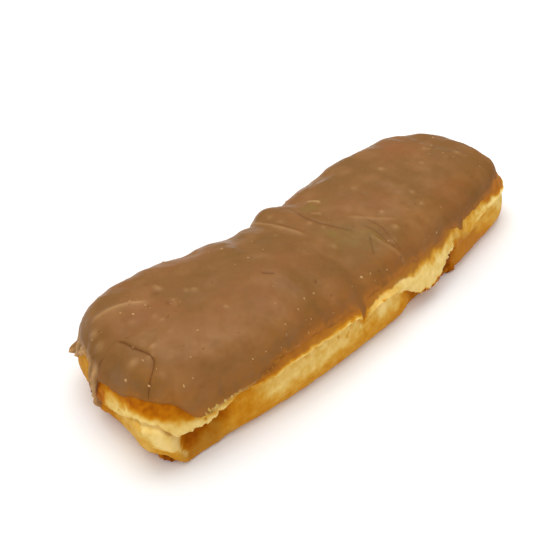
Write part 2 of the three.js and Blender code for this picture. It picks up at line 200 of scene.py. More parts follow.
# Icing that hangs out at the near end: window along the rim, level, reach, rise and raggedness
HANGING_ICING = {
    "ear": ((-19, -15.6, 4.4, 4), 11.15, 0.36, 3.6, 0.16),
    "drip": ((-3, 0.6, 2, 1.4), 6.6, 1.4, 1.5, 0),
}
HANGING_EASE = 1.3  # how far from the edge it takes to stand out
HANGING_WAVES = ((1, 1.7, 98),)  # field of its raggedness: rise, wavelength, seed

# Beads along the icing's edge: window along the rim, distance from the edge, reach and rise
BEADS = (((-17, -2.5, 4, 3), 0.9, 0.4, 0.4), ((-13, -2, 5, 4), 2.3, 0.4, 0.3))
# Painted highlight on the beads
BEAD_HIGHLIGHT = 0.5

# Thin curtain of icing at the near end, with upright folds
CURTAIN = (-18, 0.6, 5, 1)  # window along the rim
CURTAIN_TOP = (12.5, 13)  # levels between which it meets the whole icing
CURTAIN_THINNESS = 0.6  # share of its thickness that the icing loses there
CURTAIN_FOLDS = 0.42  # height of its folds
FOLDS_ALONG = ((1, 2.2, 93),)  # fields of the folds, along the rim and over the surface
FOLDS_OVER = ((0.6, 1.6, 94),)
CURTAIN_PALENESS = 0.5
FOLD_EVENNESS = 0.85  # share of that paleness between folds
# Painted highlight that a fold gains
FOLD_HIGHLIGHT = 0.3  # share that a fold gains
# Painted shade in the hollows between the folds
FOLD_SHADE_SHARE = 0.35
FOLD_DEPTHS = (0.4, 1.4)  # depths of the folds' field between which they darken
MOST_HUNG = 0.9  # most that the curtain and its beads are paled

# Thin icing along the edge
EDGE_THINNESS = 0.8
EDGE_FADE = (0.2, 3)  # distances from the edge between which that fades
CRISP_EDGE = (0, 47, 2, 12)  # window along the rim where the icing stays thick to its edge
CRISPNESS = 0.7  # share of the thinness that is lost there and on the curtain
THIN_EVENNESS = 0.85  # usual share of the thinness, the fields that break it up, and its limits
THIN_WAVES = ((0.3, 5, 57), (0.25, 1.9, 58))
THIN_LIMITS = (0.3, 1.2)
THIN_DULLNESS = 2.5  # dullness that goes with the thinness

# Bands along the icing's edge: strength, window along the rim, and distances from the edge between which
# they fade
EDGE_BANDS = {
    # Thin orange icing along the front, spread wider to lighten the front slope and near corner: painted
    # light
    "thin_and_lit_front": (0.34, (12, 112, 10, 20), (2, 12)),
    "bright_rim": (0.4, (32, 43, 2, 3), (0.3, 0.9)),
    # A dark rim at the icing's edge: partly brown icing, partly painted shadow beneath the edge
    "dark_rim": (0.5, (45, 51, 3, 3), (0.4, 2.2)),
    "dry_side": (1, (110, 196, 20, 16), (8, 18)),
}

# Lines on the icing: half-width, height, step up on the right of the line, darkness of its painted shade
# (below 0, a streak of painted highlight), and points on the plan
LINES = {
    "shoulder_ridge": (0.7, 0.4, 0, -0.3, (
        (-76, 14.5), (-72.7, 13.2), (-69.6, 11.9), (-66.4, 9.9), (-63.2, 7.2))),
    "crack": (0.3, -0.2, -0.35, 1, (
        (-76.1, 4.4), (-75.2, 1.5), (-74.8, -2), (-74.2, -4.8), (-74, -6.8), (-74.5, -8.9), (-76, -10.3),
        (-77.5, -11.4), (-79.1, -12.5), (-80.7, -13.5), (-81.7, -14.2))),
    "soft_wave": (2.2, 0.35, 0, 0, (
        (-70.4, -2), (-68.8, -5.7), (-69.1, -9.7), (-68.3, -12.4), (-67.1, -14.5), (-62.4, -16.3),
        (-57.6, -18.2))),
    "valley_ridge": (0.8, 0.4, 0.2, -0.24, (
        (-9.4, 24.5), (-10.8, 20.5), (-11.6, 17), (-11.9, 14.3), (-11.9, 11.3), (-11.6, 8.8), (-11.1, 6),
        (-10.1, 2.8), (-8.6, -0.6))),
    "ridge_foot": (0.4, -0.16, 0, 0.4, ((-10.2, 14), (-10, 10.6), (-9.4, 7.2), (-8.4, 3.6))),
    "valley_crease": (0.5, -0.2, 0.2, 0.8, (
        (-2.2, 17.5), (-1.2, 13.2), (-2.2, 9), (-2.1, 5.2), (-1.2, 1.5), (0.6, -2.4), (2, -6.9),
        (2.7, -10.1))),
    "fan_first": (0.4, -0.2, 0.15, 0.7, (
        (7.9, -6.7), (8.8, -11), (8.1, -14.1), (7.1, -17.9), (6.6, -20.8), (7, -22.8))),
    "fan_second": (0.5, 0.26, 0, -0.15, ((3.1, -12.4), (3.6, -16), (4, -19.3), (5, -22.2), (6.6, -25.1))),
    "fan_third": (0.36, -0.16, 0, 0.7, ((3.9, -12.6), (1.1, -15.5), (-2.1, -19.1))),
    "fan_fourth": (0.36, -0.16, 0, 0.65, ((5.6, -8), (6, -12), (5.6, -16), (5.4, -20), (6.4, -23))),
    "wavy_fold": (0.8, 0.34, 0.2, -0.15, (
        (6.1, -1.5), (7.6, -5.4), (9.3, -8.7), (12.1, -12.2), (15.6, -15.3))),
    "dent": (0.36, -0.36, 0, 1, ((-34.8, -5), (-33.4, -6.4), (-32, -7.7))),
    "small_dent": (0.3, -0.3, 0, 0.6, ((-26, -16.6), (-25, -16))),
    "bubble_top": (0.6, 0.25, 0, -0.5, ((6.9, 14.3), (8, 12.3), (8.4, 10.5), (7.9, 8.9))),
    "bubble_foot": (0.4, 0.22, 0, -0.25, ((0.8, 8), (1.8, 6.4), (3.4, 5))),
}
STEP_REACH = 3.5  # how far the ground beside a stepped line takes to settle
LINE_FADE = 0.16  # share of a line over which each end fades
# Spread of a pale line's painted highlight to each side
HIGHLIGHT_LEFT = 0.3  # how far a pale line tints each side, as a share of its half-width
HIGHLIGHT_RIGHT = 0.9
# Painted shade: a dark line tints the icing round it and down its hairline
CREASE_SHADE_SHARE = 0.3  # share of a line's darkness that tints the icing round it
HAIRLINE = 0.17  # half-width of the dark hairline down a line
HAIRLINE_LIMIT = 3  # half-widths at which the distance from a hairline is held
FAINT = 1.5  # distance at which a hairline is lost
NO_LINE = 2.0  # fade where there is no hairline
BUBBLE = (5.2, 9.6, 3, 0.5)  # flattened bubble: x, y, reach and rise
BUBBLE_EDGE = (0.2, 0.7)  # heights of its bell curve between which it climbs
DEEPEST_TINT = 0.8

# Pale patches of painted sheen, and olive patches of the icing: half-width, strength and points on the plan
SHEEN_PATCHES = {
    "beside_crack": (2.2, 0.8, ((-71.2, -2.4), (-70.3, -6.9), (-69.5, -11.7))),
    "broad": (4.4, 0.8, ((-64.5, -12.8), (-58.4, -15.2), (-51.7, -17.2))),
    "middle": (3, 0.9, ((-43, -18), (-41.4, -18))),
    "front": (1.8, 1, ((-25, -21), (-24, -19))),
    "far": (3.4, 0.8, ((21, -14), (19.7, -19.5), (18, -23))),
    "past_valley": (2, 0.7, ((10.1, -0.4), (10.7, -7.2), (11.2, -11))),
    "corner": (3, 0.8, ((-75, -16.6), (-70.8, -19.4))),
    "shoulder": (2, 0.5, ((-73, 11.5), (-68, 9.6), (-64, 8.4))),
}
OLIVE_PATCHES = {
    "valley": (4, 0.8, ((-3, -5), (-0.2, -9.2), (3, -13))),
    "bubble": (2.6, 1, ((3.8, 10.4), (6.6, 9.4))),
}
PATCH_EVENNESS = 0.8  # usual share of a patch's strength, and the fields that break it up
PATCH_WAVES = ((0.3, 5, 55), (0.2, 1.8, 56))

# Waves, swellings and dimples of the icing
WAVES = ((0.28, 21, 51), (0.17, 9, 52), (0.06, 4.2, 53), (0.025, 2, 54))  # height, wavelength, seed
SWELLINGS = 46
DIMPLES = 14
SWELLING_SEED = 61
SWELLING_RADIUS = (0.4, 0.8)
SWELLING_HEIGHT = (0.08, 0.22)
# A swelling's top is paled: a pale speck, partly painted highlight
SWELLING_PALENESS = 1.2  # tint for each millimetre of height
# Painted shade in a dimple
DIMPLE_SHADE = 1.4

# Places of a Mix node's sockets for colours
MIX_SHARE = 0
MIX_UNDER = 6
MIX_OVER = 7
MIX_RESULT = 2

# Uneven fields: plane waves in each, and the span of their wave numbers as shares of the usual one
FIELD_WAVES = 28
FIELD_SPAN = (0.7, 1.4)


def smoothstep(value, low, high):
    """Rises from 0 at low to 1 at high along 3t^2 - 2t^3."""
    share = np.clip((value - low) / (high - low), 0, 1)
    return share * share * (3 - 2 * share)


def bump(distance, reach):
    """Bell curve: 1 at no distance, about 0.6 at the reach."""
    return np.exp(-0.5 * (distance / reach) ** 2)


def bells(points, places):
    """Bell curves round places on a surface, each given by its centre, radius and height."""
    for centre, radius, height in places:
        yield height * bump(np.linalg.norm(points - centre, axis=1), radius)


def plateau(value, rise, fall):
    """Rises from 0 to 1 over one span and falls back to 0 over another."""
    return smoothstep(value, *rise) * (1 - smoothstep(value, *fall))


def unit(vectors):
    """Vectors scaled to a length of 1."""
    return vectors / np.maximum(np.linalg.norm(vectors, axis=-1, keepdims=True), TINY)


def stretch(run, start, end, soft_start, soft_end):
    """Window along the rim: rises softly round its start and falls softly round its end."""
    rise = (start - soft_start / 2, start + soft_start / 2)
    return plateau(run, rise, (end - soft_end / 2, end + soft_end / 2))


def ripple(points, wave, seed):
    """Uneven field, about -1 to 1: a sum of plane waves of about one wavelength in seeded directions."""
    draw = np.random.default_rng(seed)
    direction = unit(draw.normal(size=(FIELD_WAVES, 3)))
    number = 2 * np.pi / wave * draw.uniform(*FIELD_SPAN, FIELD_WAVES)
    phase = draw.uniform(0, 2 * np.pi, FIELD_WAVES)
    waves = np.sin(points @ (direction * number[:, None]).T + phase)
    return waves.sum(-1) * math.sqrt(1 / FIELD_WAVES)


def ripples(points, fields):
    """Sum of uneven fields, each given by its rise, wavelength and seed."""
    return sum(rise * ripple(points, wave, seed) for rise, wave, seed in fields)


def rim_stations():
    """Stations round the rim.

    The half outline is a superellipse in polar form, squarer at its near end, walked by arc length from
    the far tip to the near tip and mirrored for the front. Each station steps out along the line from the
    spine by the sum of the swells' bell curves.
    """
    share = np.linspace(0, 1, OUTLINE_STEPS + 1)
    angle = np.pi * share
    power = np.where(share < 0.5, FAR_SQUARENESS, NEAR_SQUARENESS)
    along = np.abs(np.cos(angle) / HALF_LENGTH) ** power
    across = np.abs(np.sin(angle) / HALF_WIDTH) ** power
    radius = (along + across) ** (-1 / power)
    half = np.stack([radius * np.cos(angle), radius * np.sin(angle)])
    length = np.concatenate([[0], np.cumsum(np.hypot(*np.diff(half)))])
    from_far = 2 * np.minimum(COLUMN, COLUMNS - COLUMN) / COLUMNS
    walked = from_far * (1 + CROWDING * (1 - from_far))
    side = np.where(COLUMN <= COLUMNS / 2, 1, -1)
    x = np.interp(walked * length[-1], length, half[0])
    y = side * np.interp(walked * length[-1], length, half[1])
    straight = np.column_stack([x, y])
    spine = np.column_stack([np.clip(x, -SPINE_HALF, SPINE_HALF), np.zeros(COLUMNS)])
    out = unit(straight - spine)
    swell = sum(step * bump(np.hypot(x - sx, y - sy), reach) for sx, sy, reach, step in SWELLS.values())
    run = -side * length[-1] * (1 - walked)
    return {"run": run, "spine": spine, "edge": straight + out * swell[:, None], "out": out}


def crown_lift(x, y):
    """Height added to the top of the bar: the mounds less the valley, all bell curves."""
    depth, valley, skew, reach = VALLEY
    mounds = sum(rise * bump(x - mx, along) * bump(y - my, across) for rise, mx, my, along, across in MOUNDS)
    return mounds - depth * bump(x - valley - skew * y, reach)


def along_rim(run, fields):
    """Sum of uneven fields along the rim."""
    return ripples(np.column_stack([run, np.zeros_like(run), np.zeros_like(run)]), fields)


def torn(run):
    """Share of tearing along the rim: 1 where the dough is torn, less where it is whole."""
    return np.maximum(CALM, np.maximum.reduce([stretch(run, *window) for window in TORN_RUNS]))


def ring_grid(rim, tearing):
    """Control points, rings by columns, with the mirrored column's rings beyond the base and the crown.

    A ring's point lies a share of the way from the spine to the outline, steps out and up by the folds
    that reach it, wanders by the tearing there, follows the lift of the crown by its height, and swings
    back along a parabola.
    """
    names = list(RINGS)
    moves = np.zeros((len(names), 2, COLUMNS))
    moves[:, 0] = [[step] for _, step, _ in RINGS.values()]
    wander = tearing * np.stack([along_rim(rim["run"], fields) for fields in WANDER])
    for name, ragged in RAGGED.items():
        moves[names.index(name)] += np.array(ragged)[:, None] * wander
    for window, lowest, *profiles in FOLDS.values():
        first = names.index(lowest)
        for axis, steps in enumerate(profiles):
            moves[first:first + len(steps), axis] += np.outer(steps, stretch(rim["run"], *window))
    rows = []
    for (share, _, height), (outwards, rise) in zip(RINGS.values(), moves):
        place = rim["spine"] + (rim["edge"] - rim["spine"]) * share + rim["out"] * outwards[:, None]
        x, y = place.T
        follow = smoothstep(height, LIFT_START, LIFT_START + LIFT_RANGE)
        z = np.maximum(height + rise + follow * crown_lift(x, y), 0)
        bow = np.where(x < 0, NEAR_BOW, FAR_BOW) * (x / HALF_LENGTH) ** 2
        rows.append(np.column_stack([x, y + bow, z]))
    rings = np.stack(rows)
    return np.concatenate([rings[1:2, MIRRORED], rings, rings[-2:-1, MIRRORED]])


def spline(rings, levels):
    """Uniform cubic B-spline up each column, at levels counted in rings."""
    span = np.clip(np.floor(levels).astype(int), 0, TOP_LEVEL - 1)
    t = (levels - span)[..., None]
    weights = ((1 - t) ** 3, 3 * t ** 3 - 6 * t ** 2 + 4, -3 * t ** 3 + 3 * t ** 2 + 3 * t + 1, t ** 3)
    return sum(weight * rings[span + i, COLUMN] for i, weight in enumerate(weights)) / 6


def icing_edge(run):
    """Level of the icing's edge: a steady level, two uneven ripples, and the drips and bare patches."""
    level = ICING_LEVEL + along_rim(run, ICING_RIPPLES)
    for window, rise in ICING_EDGES.values():
        level += rise * stretch(run, *window)
    return level


def closed_grid_faces(rows):
    """Quads of a grid that closes round its columns; the first and last rows join mirrored columns."""
    index = np.arange(rows * COLUMNS).reshape(rows, COLUMNS)
    index[0] = PINCHED
    index[-1] = (rows - 1) * COLUMNS + PINCHED
    following = np.roll(index, -1, axis=1)
    return np.stack([index[:-1], following[:-1], following[1:], index[1:]], -1).reshape(-1, 4)


def grid_normals(points):
    """Unit normals at a closed grid's points: the sum of the crossed diagonals of the quads around each."""
    faces = closed_grid_faces(len(points))
    flat = points.reshape(-1, 3)
    a, b, c, d = (flat[faces[:, i]] for i in range(4))
    crossed = np.cross(c - a, d - b)
    total = np.zeros_like(flat)
    for i in range(4):
        np.add.at(total, faces[:, i], crossed)
    total = total.reshape(points.shape)
    for row in (0, -1):
        total[row] = total[row][PINCHED]
    return unit(total)


def placed(name, data):
    """New object in the scene."""
    item = bpy.data.objects.new(name, data)
    bpy.context.scene.collection.objects.link(item)
    return item


def mesh_piece(name, points, faces, material, values):
    """Mesh object from points in millimetres, quads or triangles, and named values at the points."""
    used, faces_used = np.unique(faces, return_inverse=True)
    faces_used = faces_used.reshape(faces.shape)
    mesh = bpy.data.meshes.new(name)
    mesh.vertices.add(len(used))
    mesh.vertices.foreach_set("co", (points.reshape(-1, 3)[used] * METRES).astype(np.float32).ravel())
    mesh.loops.add(faces_used.size)
    mesh.loops.foreach_set("vertex_index", faces_used.astype(np.int32).ravel())
    mesh.polygons.add(len(faces_used))
    starts = np.arange(0, faces_used.size, faces_used.shape[1], dtype=np.int32)
    mesh.polygons.foreach_set("loop_start", starts)
    mesh.update(calc_edges=True)
    mesh.validate()
    mesh.shade_smooth()
    for key, value in values.items():
        attribute = mesh.attributes.new(key, "FLOAT", "POINT")
        attribute.data.foreach_set("value", value.reshape(-1)[used].astype(np.float32))
    mesh.materials.append(material)
    return placed(name, mesh)


def node_material(name):
    """New node material: its tree and its shader."""
    material = bpy.data.materials.new(name)
    material.use_nodes = True
    tree = material.node_tree
    return material, tree, tree.nodes["Principled BSDF"]


def linear(red, green, blue):
    """Linear colour from screen values of 0 to 255."""
    share = np.array([red, green, blue]) / 255
    value = np.where(share <= 0.04045, share / 12.92, ((share + 0.055) / 1.055) ** 2.4)
    return (*value, 1.0)


def noise(tree, place, scale, detail):
    """Noise field over the object's coordinates; the scale is in waves a metre."""
    node = tree.nodes.new("ShaderNodeTexNoise")
    node.inputs["Scale"].default_value = scale
    node.inputs["Detail"].default_value = detail
    tree.links.new(place, node.inputs["Vector"])
    return node.outputs["Fac"]


def reading(tree, name):
    """Value stored at the piece's points."""
    node = tree.nodes.new("ShaderNodeAttribute")
    node.attribute_name = name
    return node.outputs["Fac"]


def spread(tree, value, low, high, new_low, new_high):
    """Value moved from one range to another, held at its ends."""
    node = tree.nodes.new("ShaderNodeMapRange")
    for socket, number in zip(("From Min", "From Max", "To Min", "To Max"), (low, high, new_low, new_high)):
        node.inputs[socket].default_value = number
    tree.links.new(value, node.inputs["Value"])
    return node.outputs["Result"]


def field(tree, place, scale, detail, span, becomes):
    """Noise field moved from a span of its values to another range."""
    return spread(tree, noise(tree, place, scale, detail), *span, *becomes)


def maths(tree, operation, *values):
    """Result of one step of arithmetic on values."""
    node = tree.nodes.new("ShaderNodeMath")
    node.operation = operation
    for socket, value in zip(node.inputs, values):
        tree.links.new(value, socket)
    return node.outputs[0]


def colours(tree, value, stops):
    """Colour looked up by value among stops of share and screen colour."""
    node = tree.nodes.new("ShaderNodeValToRGB")
    places = node.color_ramp.elements
    while len(places) < len(stops):
        places.new(0.5)
    for place, (share, colour) in zip(places, stops):
        place.position = share
        place.color = linear(*colour)
    tree.links.new(value, node.inputs["Fac"])
    return node.outputs["Color"]


def covered(tree, share, under, colour):
    """Colour with a screen colour laid over it by share."""
    node = tree.nodes.new("ShaderNodeMix")
    node.data_type = "RGBA"
    tree.links.new(share, node.inputs[MIX_SHARE])
    tree.links.new(under, node.inputs[MIX_UNDER])
    node.inputs[MIX_OVER].default_value = linear(*colour)
    return node.outputs[MIX_RESULT]


def roughen(tree, shader, height, strength, depth):
    """Fine relief from a height field."""
    node = tree.nodes.new("ShaderNodeBump")
    node.inputs["Strength"].default_value = strength
    node.inputs["Distance"].default_value = depth
    tree.links.new(height, node.inputs["Height"])
    tree.links.new(node.outputs["Normal"], shader.inputs["Normal"])


def finish(shader, settings):
    """Sets a shader's sockets by name."""
    for socket, value in settings.items():
        shader.inputs[socket].default_value = value


# Browning of the dough from pale crumb to dark crust: share and screen colour
BROWNING = (
    (0.0, (246, 216, 142)),
    (0.16, (232, 198, 116)),
    (0.32, (219, 172, 78)),
    (0.46, (208, 148, 44)),
    (0.6, (197, 127, 17)),
    (0.76, (186, 108, 5)),
    (0.9, (150, 74, 2)),
    (1.0, (102, 40, 2)),
)
FILM = (166, 108, 42)  # icing smeared thin on the dough

# Dough's surface. A noise field is given by its waves a metre, its detail, a span of its values and the
# range which that span becomes, and fine relief by its strength and its depth in metres.
DOUGH_MOTTLE = (420, 4, (0.3, 0.7), (-0.06, 0.06))
DOUGH_ROUGHNESS = (0.1, 0.7, 0.75, 0.58)  # span of browning, and the roughness over it
DOUGH_GRAIN = (1400, 3)
DOUGH_RELIEF = (0.3, 0.0003)
DOUGH_FINISH = {
    "Specular IOR Level": 0.04,
    "Subsurface Weight": 0.15,
    "Subsurface Radius": (1.0, 0.55, 0.2),
    "Subsurface Scale": 0.0014,
}


def dough_material():
    """Fried dough: browning read from the surface, mottled by noise, matt where pale and oily where brown."""
    material, tree, shader = node_material("fried_dough")
    place = tree.nodes.new("ShaderNodeTexCoord").outputs["Object"]
    browned = maths(tree, "ADD", reading(tree, "bake"), field(tree, place, *DOUGH_MOTTLE))
    tone = covered(tree, reading(tree, "film"), colours(tree, browned, BROWNING), FILM)
    tree.links.new(tone, shader.inputs["Base Color"])
    tree.links.new(spread(tree, browned, *DOUGH_ROUGHNESS), shader.inputs["Roughness"])
    roughen(tree, shader, noise(tree, place, *DOUGH_GRAIN), *DOUGH_RELIEF)
    finish(shader, DOUGH_FINISH)
    return material


# Icing's colours by patch, and what covers them, in this order
ICING_TONES = ((0.34, (124, 85, 38)), (0.5, (130, 87, 40)), (0.66, (138, 88, 44)))
OLIVE_ICING = (130, 98, 44)
# Pale icing: a random pale mottle, and the colour of the painted sheen patches
PALE_MOTTLE_AND_SHEEN = (148, 102, 56)
# Thin icing, orange, also laid on the front slope as painted light
THIN_AND_LIT_ICING = (166, 104, 42)
# Pale specks, curtain and rim, and painted highlight on pimples, streaks, folds, beads and glints
PALE_SPECK_AND_HIGHLIGHT = (212, 168, 112)
# Brown of the painted shade in creases, dimples, fold hollows, hairlines and the dark rim
SHADE_BROWN = (96, 54, 16)

# Icing's surface, in the same form as the dough's
ICING_BLOTCHES = (42, 2)
ICING_MOTTLE = (500, 4, (0.3, 0.7), (-0.06, 0.06))
PALE_VEIL = (130, 4, (0.48, 0.72), (0, 0.6))
HAIRLINE_JAGS = (1800, 2, (0.3, 0.7), (-0.35, 0.35))
# The hairline's tint is painted shade down the crack of a line
HAIRLINE_TINT = (0.3, 1.2, 0.75, 0)  # span of distance from a hairline, and the tint over it
ICING_ROUGHNESS = (90, 3, (0.35, 0.65), (0.3, 0.52))
DULLNESS = (0, 1, 0, 0.5)  # span of dullness, and the roughness it adds
ICING_GRAIN = (900, 2)
ICING_RELIEF = (0.06, 0.0002)
ICING_FINISH = {"Specular IOR Level": 0.13, "Subsurface Weight": 0.06, "Subsurface Scale": 0.001}


def icing_material():
    """Maple icing: a satin brown skin in soft patches, orange where thin and lighter on the front slope as
    painted light, with pale specks, painted sheen and highlights, and painted shade in the creases.
    """
    material, tree, shader = node_material("maple_icing")
    place = tree.nodes.new("ShaderNodeTexCoord").outputs["Object"]
    blotches = noise(tree, place, *ICING_BLOTCHES)
    tone = colours(tree, maths(tree, "ADD", blotches, field(tree, place, *ICING_MOTTLE)), ICING_TONES)
    tone = covered(tree, reading(tree, "olive"), tone, OLIVE_ICING)
    tone = covered(tree, field(tree, place, *PALE_VEIL), tone, PALE_MOTTLE_AND_SHEEN)
    # Painted sheen: the sheen patches are laid over in pale icing
    tone = covered(tree, reading(tree, "painted_sheen"), tone, PALE_MOTTLE_AND_SHEEN)
    # Thin icing, and painted light on the front slope
    tone = covered(tree, reading(tree, "thin_and_front_light"), tone, THIN_AND_LIT_ICING)
    # Pale specks, partly painted highlights and glints
    tone = covered(tree, reading(tree, "speck_and_highlight"), tone, PALE_SPECK_AND_HIGHLIGHT)
    # Painted shade in creases, dimples, fold hollows and along the dark rim
    tone = covered(tree, reading(tree, "painted_shade"), tone, SHADE_BROWN)
    # Painted shade down the hairline of each dark line
    across = maths(tree, "ABSOLUTE", reading(tree, "line_side"))
    faded = maths(tree, "ADD", across, reading(tree, "line_fade"))
    jagged = maths(tree, "ADD", faded, field(tree, place, *HAIRLINE_JAGS))
    tone = covered(tree, spread(tree, jagged, *HAIRLINE_TINT), tone, SHADE_BROWN)
    tree.links.new(tone, shader.inputs["Base Color"])
    satin = field(tree, place, *ICING_ROUGHNESS)
    dull = spread(tree, reading(tree, "dull"), *DULLNESS)
    tree.links.new(maths(tree, "ADD", satin, dull), shader.inputs["Roughness"])
    roughen(tree, shader, noise(tree, place, *ICING_GRAIN), *ICING_RELIEF)
    finish(shader, ICING_FINISH)
    return material


# Levels of the dough's rows: across the base, closely up the side, and on under the icing
BASE_LEVELS = (0, 0.8, 1.6, 2.3, 2.9, 3.4)
SIDE_ROWS = 92
SIDE_TOP = 13.3
HIDDEN_LEVELS = (13.6, 14.2, 15, 16)
SIDE_LEVELS = np.linspace(BASE_LEVELS[-1], SIDE_TOP, SIDE_ROWS + 1)[1:]
DOUGH_LEVELS = np.concatenate([BASE_LEVELS, SIDE_LEVELS, HIDDEN_LEVELS])
DOUGH_GRID = np.repeat(DOUGH_LEVELS[:, None], COLUMNS, 1)  # the same levels in every column

# Icing's rows: outer face closer together at its edge, and a plain underside
OUTER_ROWS = 100
OUTER_CLOSENESS = 1.3
UNDER_ROWS = 9
LOWEST_UNDER_ROW = 2  # row of the outer face that the underside's lowest row lies under
EVENING = 3  # power by which the rows even out from the icing's edge to the crown
BASE_TOP = 3  # levels below this one are the dough's base


def plan_middle(points):
    """Middle of the box round the points, on the plan."""
    flat = points.reshape(-1, 3)
    return (flat.min(0) + flat.max(0)) / 2 * (1, 1, 0)


# Browning up a plain side: level and share
SIDE_BROWNING = (
    (3.4, 0.72), (4.2, 0.64), (5, 0.52), (6.4, 0.4), (8, 0.3), (9.6, 0.17), (11, 0.16), (12, 0.36),
    (12.6, 0.64), (13.2, 0.76),
)

